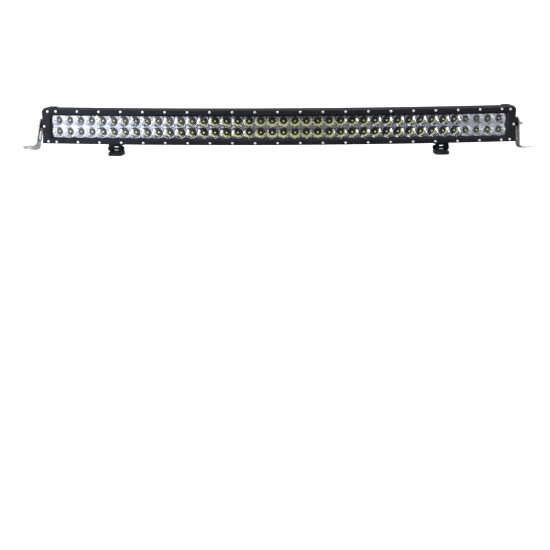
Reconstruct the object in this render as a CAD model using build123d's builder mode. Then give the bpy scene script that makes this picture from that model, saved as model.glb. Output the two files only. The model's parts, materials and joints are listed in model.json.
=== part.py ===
"""Curved two-row LED light bar with side brackets and slide feet, in millimetres.

The bar is bent to an arc about a vertical axis behind it. X runs along the bar, -Y is the way
the light shines and +Z is up. The origin is at mid-length, midway between front and back, on
the surface that the two rubber pads stand on.

Places on the bar are given by three values: the arc length "along" measured on the frame's
front face (positive towards +X), the "depth" behind that face, and the "height" above the
middle of the bar.
"""
from build123d import *
from math import cos, degrees, radians, sin, sqrt
import os

# ---------------------------------------------------------------- driving sizes of the bar
arc_radius = 2850.0  # of the frame's front face
front_setback = 51.0  # from the origin forward to the frame's front face
bar_height = 77.0
bar_depth = 52.0  # frame front to fin tips
foot_height = 27.3  # pad underside to bar underside
end_width = 21.5  # of a frame end, along the bar

led_columns = 40
led_pitch = 25.4  # along the arc on which the LEDs sit
led_depth = 22.0

# ---------------------------------------------------------------- walls and clearances
fit_gap = 0.1  # between pieces that are screwed together
moving_gap = 0.3  # between pieces that move past each other
running_fit = 0.05  # radial, shaft in hole
wall = 5.0

frame_thick = 5.0
rail_height = 14.0  # of a frame rail, from the bar's edge to the window
frame_bevel = 4.0
frame_edge = 1.2

lens_thick = 3.0
lens_edge = 4.0  # of the lens under a rail
lens_overlap = 4.5  # of the lens under a frame end
gasket_thick = 1.5
gasket_width = 2.2
cap_gasket_thick = 0.8

tray_edge = 1.4  # of the tray beyond the window, above and below
cup_rim = 0.6  # left around the mouth of each cup
cup_back_radius = 3.75
cup_belly = 1.3  # how far the cup's wall bows out
board_thick = 1.6
package_thick = 1.1
package_side = 5.0
dome_radius = 2.2

fin_count = 10
fin_thick = 1.8
back_wall = 3.2
top_wall = 3.0
lip_height = 19.0
lip_groove = 1.2
lip_ridge = 5.0
edge_break = 1.0
top_groove = 1.2
top_groove_depth = 0.8
top_groove_places = (13.0, 24.0)

chamber_depth = 9.0
chamber_roof = 9.5  # from the bar's top down to the chamber
chamber_floor = 21.5  # from the bar's underside up to the chamber

slot_depth_place = 32.0  # middle of the T-slot behind the frame's front face
slot_mouth = 9.0
slot_width = 15.0
slot_lip = 3.0
slot_room = 7.0

# ---------------------------------------------------------------- screws
screw_pitch = 50.0
screw_edge = 4.3  # from the bar's edge to the screws
screw_radius = 1.9
screw_head_radius = 3.0
screw_head_height = 1.5
screw_depth = 15.0  # of the shank below the head
drill_spare = 1.0  # that a screw's hole is deeper than the screw
hex_key = 1.3
end_screw_inset = 7.4
end_screw_edge = 5.0  # from the bar's edge to the outer screws of a frame end
middle_screw_inset = 16.0

cap_screw_front = 19.0  # depth of the front pair
cap_screw_rear = 4.0  # from the fins' roots forward to the rear pair
cap_screw_edge = 6.5  # from the bar's edge to the front pair and the upper rear one
cap_screw_low = 15.5  # from the bar's underside up to the lower rear one
cap_screw_head_radius = 3.7
cap_screw_head_height = 2.6
cap_screw_grip = 16.0  # cap metal under the head
cap_screw_bite = 14.0  # thread in the housing

board_screw_radius = 1.45
board_screw_head_radius = 2.75
board_screw_head_height = 1.6
board_screw_bite = 4.0
led_boards = 5

# ---------------------------------------------------------------- end caps and their fittings
cap_proud = 1.8  # of the cap above and below the bar
cap_corner = 7.0
cap_key = 1.95  # of the hexagon in a cap screw's head
cap_round = 2.5
waist = 1.6  # how far the ends pull in at mid-height
pivot_setback = 2.0  # of the pivot behind the middle of the bar's depth
pivot_height = 2.0
recess_border = 7.0  # between the recess and the cap's front and back
recess_depth = 4.0
boss_radius = 9.0
boss_length = 8.0  # beyond the cap
port_rise = 5.0  # of the lower port above the chamber's floor
port_counterbore = 7.0
port_counterbore_depth = 3.0
port_radius = 4.0
port_along = 10.0  # from the cap's inner face
port_pocket = 9.0  # square way from the port into the chamber
vent_hole_radius = 0.7
vent_holes = 4
cable_bore = 3.2

# ---------------------------------------------------------------- side brackets
bracket_thick = 3.0
bracket_width = 25.0
bracket_drop = 58.5  # pivot to the foot's underside
bracket_bend = 8.0
bracket_reach = 33.0  # foot tip beyond the leg
bracket_tip = 7.0  # half the width of the foot's tip
bracket_tip_round = 5.6
bracket_slot_width = 9.0
bracket_slot_length = 16.0
bracket_slot_inset = 12.0  # slot centre from the tip
bracket_shoulder = 13.0  # where the foot starts to taper, from the leg's outer face
leg_slot_width = 8.5
leg_slot_length = 24.0
leg_slot_drop = 27.0
pivot_bolt_radius = 4.0
pivot_bolt_bite = 14.0
pivot_head_flats = 13.0
pivot_head_height = 5.3
friction_washer_thick = 2.0
friction_washer_radius = 8.5
flat_washer_thick = 1.6
flat_washer_radius = 8.0
spring_washer_thick = 2.0
spring_washer_radius = 6.8
bracket_swing = {-1: 28.0, 1: 7.0}  # degrees that each foot is turned forward

# ---------------------------------------------------------------- slide feet
foot_along = 370.0
foot_width = 30.0
foot_depth = 44.0
foot_plate = 5.0
pad_thick = 2.9
foot_corner = 6.0
neck_width = 28.0
neck_plate = 6.0
neck_front = 15.0
hook_thick = 3.6
hook_height = 7.0
lug_inner = 5.6
lug_thick = 3.8
ear_thick = 4.0
foot_bolt_radius = 3.0
foot_bolt_head_flats = 10.0
foot_bolt_head = 3.5
foot_nut = 4.5
clamp_radius = 3.0
clamp_head_radius = 5.0
clamp_head = 3.0
nut_length = 30.0
nut_thick = 5.0
foot_hole_radius = 3.3
foot_hole_place = 13.5
pad_hole_radius = 5.2

# ---------------------------------------------------------------- driver boards and leads
driver_length = 130.0
driver_margin = 4.0  # between a driver board and the chamber's roof and floor
driver_along = 200.0
standoff_radius = 2.5
standoff_length = 1.2
coil_radius = 7.0
coils = 3
coil_height = 4.0
can_radius = 3.0
cans = 4  # in each of two rows
can_height = 5.0
lead_radius = 1.6
lead_overlap = 20.0

# ---------------------------------------------------------------- derived values
arc_centre_y = arc_radius - front_setback
arc_axis = Axis((0, arc_centre_y, 0), (0, 0, 1))
half_height = bar_height / 2
frame_opening = bar_height - 2 * rail_height
lens_height = frame_opening + 2 * lens_edge
tray_height = frame_opening + 2 * tray_edge
reflector_height = tray_height - 2 * moving_gap
led_row_pitch = reflector_height / 2 - cup_rim
bar_bottom = foot_height
bar_middle = bar_bottom + half_height
led_radius = arc_radius - led_depth
column_along = led_pitch * arc_radius / led_radius
window_half = led_columns * column_along / 2
bar_half = window_half + end_width
housing_half = window_half
cap_inner = housing_half + cap_gasket_thick + 2 * fit_gap
lens_half = window_half + lens_overlap
cap_length = bar_half - cap_inner

rim_front = frame_thick + fit_gap
lens_back = rim_front + lens_thick
gasket_front = lens_back + fit_gap
ledge_front = gasket_front + gasket_thick + fit_gap
reflector_front = ledge_front + fit_gap
board_front = led_depth + package_thick
tray_floor = board_front + board_thick + fit_gap
chamber_front = tray_floor + wall
chamber_back = chamber_front + chamber_depth
chamber_top = half_height - chamber_roof
chamber_bottom = chamber_floor - half_height
fin_root = chamber_back + back_wall
pivot_depth = bar_depth / 2 + pivot_setback
recess_radius = bar_depth / 2 - recess_border
port_height = -chamber_bottom - port_rise
lens_pocket = lens_height + 2 * moving_gap

screw_reach = int((window_half - 2 * screw_head_radius) // screw_pitch)  # each side of the middle one
frame_screw_height = half_height - screw_edge
end_screw_places = (
    (end_screw_inset, half_height - end_screw_edge),
    (end_screw_inset, end_screw_edge - half_height),
    (middle_screw_inset, 0.0),
)
cap_screw_places = (
    (cap_screw_front, half_height - cap_screw_edge),
    (cap_screw_front, cap_screw_edge - half_height),
    (fin_root - cap_screw_rear, half_height - cap_screw_edge),
    (fin_root - cap_screw_rear, cap_screw_low - half_height),
)

both_sides = ((-1, "left"), (1, "right"))


def angle_at(along):
    """Angle about the arc's axis, in degrees, of a place along the bar."""
    return degrees(along / arc_radius)


def station(along, depth, height):
    """The point, the direction along the bar and the direction into the bar at a place."""
    turn = along / arc_radius
    reach = arc_radius - depth
    point = Vector(reach * sin(turn), arc_centre_y - reach * cos(turn), bar_middle + height)
    return point, Vector(cos(turn), sin(turn), 0), Vector(-sin(turn), cos(turn), 0)


def section_plane(along):
    """Plane across the bar, with x the distance from the arc's axis and y the world's z."""
    turn = along / arc_radius
    outward = (sin(turn), -cos(turn), 0)
    return Plane((0, arc_centre_y, 0), x_dir=outward, z_dir=(-cos(turn), -sin(turn), 0))


def section_points(places):
    """Points of a section from (depth, height) pairs."""
    return [(arc_radius - depth, bar_middle + height) for depth, height in places]


def front_plane(along, depth, height):
    """Plane that faces out of the lens side, with x along the bar and y up."""
    point, tangent, inward = station(along, depth, height)
    return Plane(point, x_dir=tangent, z_dir=-inward)


def upright_plane(along, depth, level):
    """Level plane at a height above the pads' surface, with x along the bar and y into it."""
    point, tangent, _ = station(along, depth, 0)
    return Plane((point.X, point.Y, level), x_dir=tangent, z_dir=(0, 0, 1))


def end_plane(side, along, depth=0.0, height=0.0):
    """Plane that faces out of one end, with x times side the depth and y up."""
    point, tangent, inward = station(side * along, depth, height)
    return Plane(point, x_dir=inward * side, z_dir=tangent * side)


def rear_plane(along, depth, height):
    """Plane that faces out of the back, with y up."""
    point, tangent, inward = station(along, depth, height)
    return Plane(point, x_dir=-tangent, z_dir=inward)


def shifted(plane, across, up):
    """The same plane with its origin moved within itself."""
    return Plane(plane.from_local_coords((across, up, 0)), x_dir=plane.x_dir, z_dir=plane.z_dir)


def cap_plane(side, outward, depth=0.0, height=0.0):
    """Plane that faces out of an end cap, a distance outward from the cap's inner face."""
    return shifted(end_plane(side, cap_inner).offset(outward), side * depth, height)


def frame_end_plane(side, inset, height):
    """Plane on a frame end's front face, a distance out from the window's end."""
    return shifted(front_plane(side * window_half, 0, 0), side * inset, height)


def port_plane(side, depth):
    """Plane that faces out of the port in an end cap's back."""
    middle = cap_plane(side, port_along, depth, -side * port_height)
    return Plane(middle.origin, x_dir=-middle.z_dir, z_dir=middle.x_dir * side)


def save(piece, name):
    """Label a finished piece and write it."""
    piece.part.label = name
    export_step(piece.part, f"parts/{name}.step")


os.makedirs("parts", exist_ok=True)

# ---------------------------------------------------------------- housing
fin_zone_top = half_height - top_wall
lip_top = -half_height + lip_height
fin_pitch = (fin_zone_top - lip_top) / (fin_count + 1)
slot_front = slot_depth_place - slot_width / 2
slot_back = slot_depth_place + slot_width / 2
mouth_front = slot_depth_place - slot_mouth / 2
mouth_back = slot_depth_place + slot_mouth / 2
slot_floor = -half_height + slot_lip
slot_roof = slot_floor + slot_room

top_edge = [(rim_front, lens_pocket / 2), (rim_front, half_height)]
for groove in top_groove_places:
    top_edge += [(groove, half_height), (groove, half_height - top_groove_depth)]
    top_edge += [(groove + top_groove, half_height - top_groove_depth), (groove + top_groove, half_height)]
top_edge += [(bar_depth - edge_break, half_height), (bar_depth, half_height - edge_break)]

fin_edge = [(bar_depth, fin_zone_top), (fin_root, fin_zone_top)]
for fin in range(fin_count):
    fin_middle = fin_zone_top - (fin + 1) * fin_pitch
    fin_edge += [(fin_root, fin_middle + fin_thick / 2), (bar_depth, fin_middle + fin_thick / 2)]
    fin_edge += [(bar_depth, fin_middle - fin_thick / 2), (fin_root, fin_middle - fin_thick / 2)]
fin_edge += [(fin_root, lip_top), (bar_depth, lip_top)]

lip_edge = [
    (bar_depth, lip_top - lip_ridge),
    (bar_depth - lip_groove, lip_top - lip_ridge - lip_groove),
    (bar_depth - lip_groove, -half_height + lip_ridge + lip_groove),
    (bar_depth, -half_height + lip_ridge),
    (bar_depth, -half_height + edge_break),
    (bar_depth - edge_break, -half_height),
]
slot_edge = [
    (mouth_back, -half_height),
    (mouth_back, slot_floor),
    (slot_back, slot_floor),
    (slot_back, slot_roof),
    (slot_front, slot_roof),
    (slot_front, slot_floor),
    (mouth_front, slot_floor),
    (mouth_front, -half_height),
]
tray_edge = [
    (rim_front, -half_height),
    (rim_front, -lens_pocket / 2),
    (ledge_front, -lens_pocket / 2),
    (ledge_front, -tray_height / 2),
    (tray_floor, -tray_height / 2),
    (tray_floor, tray_height / 2),
    (ledge_front, tray_height / 2),
    (ledge_front, lens_pocket / 2),
]
chamber_edge = [
    (chamber_front, chamber_bottom),
    (chamber_back, chamber_bottom),
    (chamber_back, chamber_top),
    (chamber_front, chamber_top),
]

rail_screw_places = [
    (count * screw_pitch, row * frame_screw_height)
    for count in range(-screw_reach, screw_reach + 1)
    for row in (-1, 1)
]
rail_screw_planes = [front_plane(along, 0, height) for along, height in rail_screw_places]
board_half = window_half / led_boards
board_middles = [board_half * (2 * board - led_boards + 1) for board in range(led_boards)]
board_screw_alongs = [
    middle + side * (board_half - 2 * column_along) for middle in board_middles for side in (-1, 1)
]
board_screw_planes = [front_plane(along, board_front, 0) for along in board_screw_alongs]

with BuildPart() as housing:
    with BuildSketch(section_plane(-housing_half)):
        with BuildLine():
            Polyline(*section_points(top_edge + fin_edge + lip_edge + slot_edge + tray_edge), close=True)
        make_face()
        with BuildLine():
            Polyline(*section_points(chamber_edge), close=True)
        make_face(mode=Mode.SUBTRACT)
    revolve(axis=arc_axis, revolution_arc=2 * angle_at(housing_half))
    with Locations(*rail_screw_planes):
        Cylinder(
            screw_radius + running_fit,
            screw_depth + drill_spare,
            align=(Align.CENTER, Align.CENTER, Align.MAX),
            mode=Mode.SUBTRACT,
        )
    with Locations(*board_screw_planes):
        Cylinder(
            board_screw_radius + running_fit,
            2 * (board_thick + board_screw_bite),
            mode=Mode.SUBTRACT,
        )
    for side, _ in both_sides:
        with Locations(*[cap_plane(side, 0, depth, height) for depth, height in cap_screw_places]):
            Cylinder(screw_radius + running_fit, 2 * (cap_screw_bite + drill_spare), mode=Mode.SUBTRACT)
save(housing, "housing")

# ---------------------------------------------------------------- frame
rail_inner = frame_opening / 2
for row, name in ((1, "frame_rail_top"), (-1, "frame_rail_bottom")):
    rail_section = [
        (0, row * (rail_inner + frame_bevel)),
        (0, row * (half_height - frame_edge)),
        (frame_edge, row * half_height),
        (frame_thick, row * half_height),
        (frame_thick, row * rail_inner),
        (frame_bevel, row * rail_inner),
    ]
    with BuildPart() as frame_rail:
        with BuildSketch(section_plane(-window_half + fit_gap)):
            with BuildLine():
                Polyline(*section_points(rail_section), close=True)
            make_face()
        revolve(axis=arc_axis, revolution_arc=2 * angle_at(window_half - fit_gap))
        row_planes = [
            front_plane(along, 0, height) for along, height in rail_screw_places if height * row > 0
        ]
        with Locations(*row_planes):
            Cylinder(screw_radius + 2 * fit_gap, 3 * frame_thick, mode=Mode.SUBTRACT)
    save(frame_rail, name)

waist_radius = (half_height**2 + waist**2) / (2 * waist)
for side, name in both_sides:
    with BuildPart() as frame_end:
        with BuildSketch(front_plane(side * window_half, 0, 0)) as frame_end_outline:
            with Locations((side * (end_width + fit_gap) / 2, 0)):
                Rectangle(end_width - fit_gap, bar_height)
            outward = Axis((0, 0, 0), end_plane(side, window_half).z_dir)
            fillet(frame_end_outline.vertices().group_by(outward)[-1], cap_corner)
            with Locations((side * (end_width - waist + waist_radius), 0)):
                Circle(waist_radius, mode=Mode.SUBTRACT)
        extrude(amount=-frame_thick)
        with BuildSketch(front_plane(side * (window_half - end_width + frame_bevel), 0, 0)):
            Rectangle(2 * end_width, frame_opening + 2 * frame_bevel)
        extrude(amount=-frame_bevel, taper=45, mode=Mode.SUBTRACT)
        with Locations(*[frame_end_plane(side, inset, height) for inset, height in end_screw_places]):
            Cylinder(screw_radius + 2 * fit_gap, 3 * frame_thick, mode=Mode.SUBTRACT)
    save(frame_end, f"frame_end_{name}")

frame_screw_planes = rail_screw_planes + [
    frame_end_plane(side, inset, height)
    for side, _ in both_sides
    for inset, height in end_screw_places
]
with BuildPart() as frame_screws:
    with Locations(*frame_screw_planes):
        Cylinder(screw_head_radius, screw_head_height, align=(Align.CENTER, Align.CENTER, Align.MIN))
        Cylinder(screw_radius, screw_depth, align=(Align.CENTER, Align.CENTER, Align.MAX))
    with BuildSketch(*[plane.offset(screw_head_height) for plane in frame_screw_planes]):
        RegularPolygon(hex_key, 6)
    extrude(amount=-screw_head_height / 2, mode=Mode.SUBTRACT)
save(frame_screws, "frame_screws")

# ---------------------------------------------------------------- lens and its gasket
with BuildPart() as lens:
    with BuildSketch(section_plane(-lens_half)):
        with BuildLine():
            Polyline(
                *section_points(
                    [
                        (rim_front, -lens_height / 2),
                        (rim_front, lens_height / 2),
                        (lens_back, lens_height / 2),
                        (lens_back, -lens_height / 2),
                    ]
                ),
                close=True,
            )
        make_face()
    revolve(axis=arc_axis, revolution_arc=2 * angle_at(lens_half))
save(lens, "lens")

gasket_outer = lens_height / 2 - fit_gap
gasket_inner = gasket_outer - gasket_width
with BuildPart() as lens_gasket:
    with BuildSketch(section_plane(-lens_half + fit_gap)):
        with BuildLine():
            Polyline(
                *section_points(
                    [
                        (gasket_front, -gasket_outer),
                        (gasket_front, gasket_outer),
                        (gasket_front + gasket_thick, gasket_outer),
                        (gasket_front + gasket_thick, -gasket_outer),
                    ]
                ),
                close=True,
            )
        make_face()
    revolve(axis=arc_axis, revolution_arc=2 * angle_at(lens_half - fit_gap))
    with BuildSketch(section_plane(-lens_half + fit_gap + gasket_width)):
        with BuildLine():
            Polyline(
                *section_points(
                    [
                        (gasket_front - gasket_thick, -gasket_inner),
                        (gasket_front - gasket_thick, gasket_inner),
                        (gasket_front + 2 * gasket_thick, gasket_inner),
                        (gasket_front + 2 * gasket_thick, -gasket_inner),
                    ]
                ),
                close=True,
            )
        make_face()
    revolve(
        axis=arc_axis,
        revolution_arc=2 * angle_at(lens_half - fit_gap - gasket_width),
        mode=Mode.SUBTRACT,
    )
save(lens_gasket, "lens_gasket")

# ---------------------------------------------------------------- reflector modules
module_columns = 4
module_count = led_columns // module_columns
module_half = module_columns * column_along / 2
cup_front_radius = min(led_pitch, led_row_pitch) / 2 - cup_rim
reflector_back = board_front - fit_gap
reflector_depth = reflector_back - reflector_front
screw_pocket_radius = board_screw_head_radius + moving_gap
screw_pocket_depth = board_screw_head_height + 2 * moving_gap
column_alongs = [(column - (led_columns - 1) / 2) * column_along for column in range(led_columns)]
led_rows = (-led_row_pitch / 2, led_row_pitch / 2)

with BuildPart() as cup_shape:
    with BuildSketch(Plane.XZ):
        with BuildLine():
            cup_wall = ThreePointArc(
                (cup_back_radius, 0),
                ((cup_back_radius + cup_front_radius) / 2 + cup_belly, reflector_depth / 2 - cup_belly),
                (cup_front_radius, reflector_depth),
            )
            Polyline(
                cup_wall @ 1,
                (cup_front_radius, reflector_depth + 1),
                (0, reflector_depth + 1),
                (0, -1),
                (cup_back_radius, -1),
                cup_wall @ 0,
            )
        make_face()
    revolve(axis=Axis.Z)

for module in range(module_count):
    module_middle = (module - (module_count - 1) / 2) * 2 * module_half
    first_column = module * module_columns
    cup_planes = [
        front_plane(along, reflector_back, row)
        for along in column_alongs[first_column : first_column + module_columns]
        for row in led_rows
    ]
    pocket_planes = [
        front_plane(along, board_front, 0)
        for along in board_screw_alongs
        if abs(along - module_middle) < module_half
    ]
    with BuildPart() as reflector:
        with BuildSketch(section_plane(module_middle - module_half + fit_gap)):
            with BuildLine():
                Polyline(
                    *section_points(
                        [
                            (reflector_front, -reflector_height / 2),
                            (reflector_front, reflector_height / 2),
                            (reflector_back, reflector_height / 2),
                            (reflector_back, -reflector_height / 2),
                        ]
                    ),
                    close=True,
                )
            make_face()
        revolve(axis=arc_axis, revolution_arc=2 * angle_at(module_half - fit_gap))
        with Locations(*cup_planes):
            add(cup_shape.part, mode=Mode.SUBTRACT)
        with Locations(*pocket_planes):
            Cylinder(
                screw_pocket_radius,
                screw_pocket_depth,
                align=(Align.CENTER, Align.CENTER, Align.MIN),
                mode=Mode.SUBTRACT,
            )
    if module == 0:
        save(reflector, "flood_reflector_left")
    elif module == module_count - 1:
        save(reflector, "flood_reflector_right")
    else:
        save(reflector, f"spot_reflector_{module}")

# ---------------------------------------------------------------- LED boards
board_height = reflector_height
for board, middle in enumerate(board_middles):
    with BuildPart() as led_board:
        with BuildSketch(section_plane(middle - board_half + fit_gap)):
            with BuildLine():
                Polyline(
                    *section_points(
                        [
                            (board_front, -board_height / 2),
                            (board_front, board_height / 2),
                            (board_front + board_thick, board_height / 2),
                            (board_front + board_thick, -board_height / 2),
                        ]
                    ),
                    close=True,
                )
            make_face()
        revolve(axis=arc_axis, revolution_arc=2 * angle_at(board_half - fit_gap))
        own_screws = [
            front_plane(along, board_front, 0)
            for along in board_screw_alongs
            if abs(along - middle) < board_half
        ]
        with Locations(*own_screws):
            Cylinder(board_screw_radius + fit_gap, 3 * board_thick, mode=Mode.SUBTRACT)
    save(led_board, f"led_board_{board + 1}")

led_planes = [front_plane(along, board_front, row) for along in column_alongs for row in led_rows]
with BuildPart() as led_packages:
    with Locations(*[plane.offset(fit_gap / 2) for plane in led_planes]):
        Box(
            package_side,
            package_side,
            package_thick - fit_gap,
            align=(Align.CENTER, Align.CENTER, Align.MIN),
        )
save(led_packages, "led_packages")

with BuildPart() as led_domes:
    with Locations(*[plane.offset(package_thick) for plane in led_planes]):
        Sphere(dome_radius, arc_size1=0, align=(Align.CENTER, Align.CENTER, Align.MIN))
save(led_domes, "led_domes")

with BuildPart() as board_screws:
    with Locations(*[plane.offset(fit_gap / 2) for plane in board_screw_planes]):
        Cylinder(
            board_screw_head_radius,
            board_screw_head_height,
            align=(Align.CENTER, Align.CENTER, Align.MIN),
        )
        Cylinder(
            board_screw_radius,
            board_thick + board_screw_bite - drill_spare,
            align=(Align.CENTER, Align.CENTER, Align.MAX),
        )
save(board_screws, "board_screws")

# ---------------------------------------------------------------- driver boards in the rear chamber
chamber_middle = (chamber_top + chamber_bottom) / 2
driver_height = chamber_top - chamber_bottom - 2 * driver_margin
standoff_pitch = (driver_length - 4 * standoff_radius, driver_height - 4 * standoff_radius)
can_row_pitch = driver_height - 4 * can_radius
driver_sag = arc_radius - sqrt(arc_radius**2 - (driver_length / 2) ** 2)
driver_depth = chamber_front + standoff_length + driver_sag + board_thick
for side, name in both_sides:
    board_plane = rear_plane(side * driver_along, driver_depth, chamber_middle)
    with BuildPart() as driver_board:
        with BuildSketch(board_plane):
            Rectangle(driver_length, driver_height)
        extrude(amount=-board_thick)
    save(driver_board, f"driver_board_{name}")

    with BuildPart() as driver_parts:
        with BuildSketch(board_plane.offset(fit_gap)):
            with GridLocations(driver_length / coils, 0, coils, 1):
                Circle(coil_radius)
                Circle(coil_radius / 3, mode=Mode.SUBTRACT)
        extrude(amount=coil_height)
        with BuildSketch(board_plane.offset(fit_gap)):
            with GridLocations(driver_length / (cans + 2), can_row_pitch, cans, 2):
                Circle(can_radius)
        extrude(amount=can_height)
    save(driver_parts, f"driver_parts_{name}")

with BuildPart() as board_standoffs:
    for side, _ in both_sides:
        under_board = rear_plane(side * driver_along, driver_depth - board_thick, chamber_middle)
        with BuildSketch(under_board.offset(-fit_gap / 2)):
            with GridLocations(*standoff_pitch, 2, 2):
                Circle(standoff_radius)
        extrude(amount=fit_gap - standoff_length)
save(board_standoffs, "board_standoffs")

lead_start = driver_along + driver_length / 2 - lead_overlap
with BuildPart() as power_leads:
    for lead in range(2):
        lead_depth = chamber_front + lead_radius + fit_gap + lead * (2 * lead_radius + fit_gap)
        with BuildSketch(section_plane(-housing_half + fit_gap)):
            with Locations(*section_points([(lead_depth, chamber_bottom + lead_radius + fit_gap)])):
                Circle(lead_radius)
        revolve(axis=arc_axis, revolution_arc=angle_at(housing_half - fit_gap - lead_start))
save(power_leads, "power_leads")

# ---------------------------------------------------------------- end caps
cap_outline = [
    (rim_front, -half_height),
    (rim_front, half_height),
    (2 * rim_front, half_height + cap_proud),
    (bar_depth, half_height + cap_proud),
    (bar_depth, -half_height - cap_proud / 2),
    (2 * rim_front, -half_height - cap_proud / 2),
]
for side, name in both_sides:
    inner = cap_plane(side, 0)
    outer = cap_plane(side, cap_length)
    with BuildPart() as end_cap:
        with BuildSketch(inner) as cap_profile:
            with BuildLine():
                Polyline(*[(side * depth, height) for depth, height in cap_outline], close=True)
            make_face()
            rear_way = Axis((0, 0, 0), inner.x_dir * side)
            fillet(cap_profile.vertices().group_by(rear_way)[-1], cap_corner)
        extrude(amount=cap_length)
        outer_edges = end_cap.faces().sort_by(Axis((0, 0, 0), inner.z_dir))[-1].edges()
        chamfer(outer_edges, cap_round)
        with BuildSketch(Plane(inner.origin, x_dir=inner.z_dir, z_dir=inner.x_dir)):
            with Locations((cap_length - waist + waist_radius, 0)):
                Circle(waist_radius)
        extrude(amount=3 * bar_depth, both=True, mode=Mode.SUBTRACT)
        with BuildSketch(outer.offset(-waist - recess_depth)):
            with Locations((side * pivot_depth, pivot_height)):
                RegularPolygon(recess_radius, 8, rotation=22.5)
        extrude(amount=2 * cap_length, mode=Mode.SUBTRACT)
        with BuildSketch(outer.offset(-waist - recess_depth)):
            with Locations((side * pivot_depth, pivot_height)):
                Circle(boss_radius)
        extrude(amount=waist + recess_depth + boss_length)
        with BuildSketch(inner):
            with Locations((side * (ledge_front + rim_front - moving_gap) / 2, 0)):
                Rectangle(ledge_front - rim_front + moving_gap, lens_pocket)
        extrude(amount=lens_half + moving_gap - cap_inner, mode=Mode.SUBTRACT)
        with Locations(*[frame_end_plane(side, inset, height) for inset, height in end_screw_places]):
            Cylinder(
                screw_radius + running_fit,
                screw_depth + drill_spare,
                align=(Align.CENTER, Align.CENTER, Align.MAX),
                mode=Mode.SUBTRACT,
            )
        with Locations(cap_plane(side, cap_length + boss_length, pivot_depth, pivot_height)):
            Cylinder(
                pivot_bolt_radius + running_fit,
                pivot_bolt_bite + boss_length + drill_spare,
                align=(Align.CENTER, Align.CENTER, Align.MAX),
                mode=Mode.SUBTRACT,
            )
        for depth, height in cap_screw_places:
            with Locations(cap_plane(side, 0, depth, height)):
                Cylinder(screw_radius + 2 * fit_gap, 3 * cap_length, mode=Mode.SUBTRACT)
            with Locations(cap_plane(side, cap_screw_grip, depth, height)):
                Cylinder(
                    cap_screw_head_radius + 2 * fit_gap,
                    cap_length,
                    align=(Align.CENTER, Align.CENTER, Align.MIN),
                    mode=Mode.SUBTRACT,
                )
        with Locations(port_plane(side, bar_depth)):
            Cylinder(
                port_counterbore,
                2 * port_counterbore_depth,
                mode=Mode.SUBTRACT,
            )
            Cylinder(
                port_radius,
                bar_depth - chamber_back + port_radius,
                align=(Align.CENTER, Align.CENTER, Align.MAX),
                mode=Mode.SUBTRACT,
            )
        with BuildSketch(inner):
            with Locations((side * (chamber_back - port_radius / 2), -side * port_height)):
                Rectangle(port_pocket, port_pocket)
        extrude(amount=port_along, mode=Mode.SUBTRACT)
    save(end_cap, f"end_cap_{name}")

    with BuildPart() as cap_gasket:
        with BuildSketch(end_plane(side, housing_half + fit_gap)):
            with BuildLine():
                Polyline(
                    (side * ledge_front, -half_height + edge_break),
                    (side * ledge_front, half_height - edge_break),
                    (side * fin_root, half_height - edge_break),
                    (side * fin_root, slot_roof + edge_break),
                    (side * (slot_front - edge_break), slot_roof + edge_break),
                    (side * (slot_front - edge_break), -half_height + edge_break),
                    close=True,
                )
            make_face()
            with BuildLine():
                Polyline(
                    (side * (ledge_front - 1), -tray_height / 2),
                    (side * (ledge_front - 1), tray_height / 2),
                    (side * tray_floor, tray_height / 2),
                    (side * tray_floor, -tray_height / 2),
                    close=True,
                )
            make_face(mode=Mode.SUBTRACT)
            with BuildLine():
                Polyline(*[(side * depth, height) for depth, height in chamber_edge], close=True)
            make_face(mode=Mode.SUBTRACT)
            with Locations(*[(side * depth, height) for depth, height in cap_screw_places]):
                Circle(screw_radius + 2 * fit_gap, mode=Mode.SUBTRACT)
        extrude(amount=cap_gasket_thick)
    save(cap_gasket, f"end_cap_gasket_{name}")

cap_screw_planes = [
    cap_plane(side, cap_screw_grip + fit_gap / 2, depth, height)
    for side, _ in both_sides
    for depth, height in cap_screw_places
]
with BuildPart() as end_cap_screws:
    with Locations(*cap_screw_planes):
        Cylinder(
            cap_screw_head_radius,
            cap_screw_head_height,
            align=(Align.CENTER, Align.CENTER, Align.MIN),
        )
        Cylinder(
            screw_radius,
            cap_screw_grip + cap_screw_bite,
            align=(Align.CENTER, Align.CENTER, Align.MAX),
        )
    with BuildSketch(*[plane.offset(cap_screw_head_height) for plane in cap_screw_planes]):
        RegularPolygon(cap_key, 6)
    extrude(amount=-cap_screw_head_height / 2, mode=Mode.SUBTRACT)
save(end_cap_screws, "end_cap_screws")

port_neck = bar_depth - chamber_back - port_counterbore_depth - moving_gap
for side, name in ((-1, "cable_inlet"), (1, "breather_vent")):
    with BuildPart() as fitting:
        with Locations(port_plane(side, bar_depth - port_counterbore_depth + fit_gap / 2)):
            Cylinder(
                port_counterbore - moving_gap,
                port_counterbore_depth,
                align=(Align.CENTER, Align.CENTER, Align.MIN),
            )
            Cylinder(
                port_radius - running_fit,
                port_neck,
                align=(Align.CENTER, Align.CENTER, Align.MAX),
            )
            if side < 0:
                Cylinder(cable_bore, 4 * port_neck, mode=Mode.SUBTRACT)
            else:
                with PolarLocations(port_counterbore / 2, vent_holes):
                    Cylinder(vent_hole_radius, port_counterbore_depth, mode=Mode.SUBTRACT)
    save(fitting, name)

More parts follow.
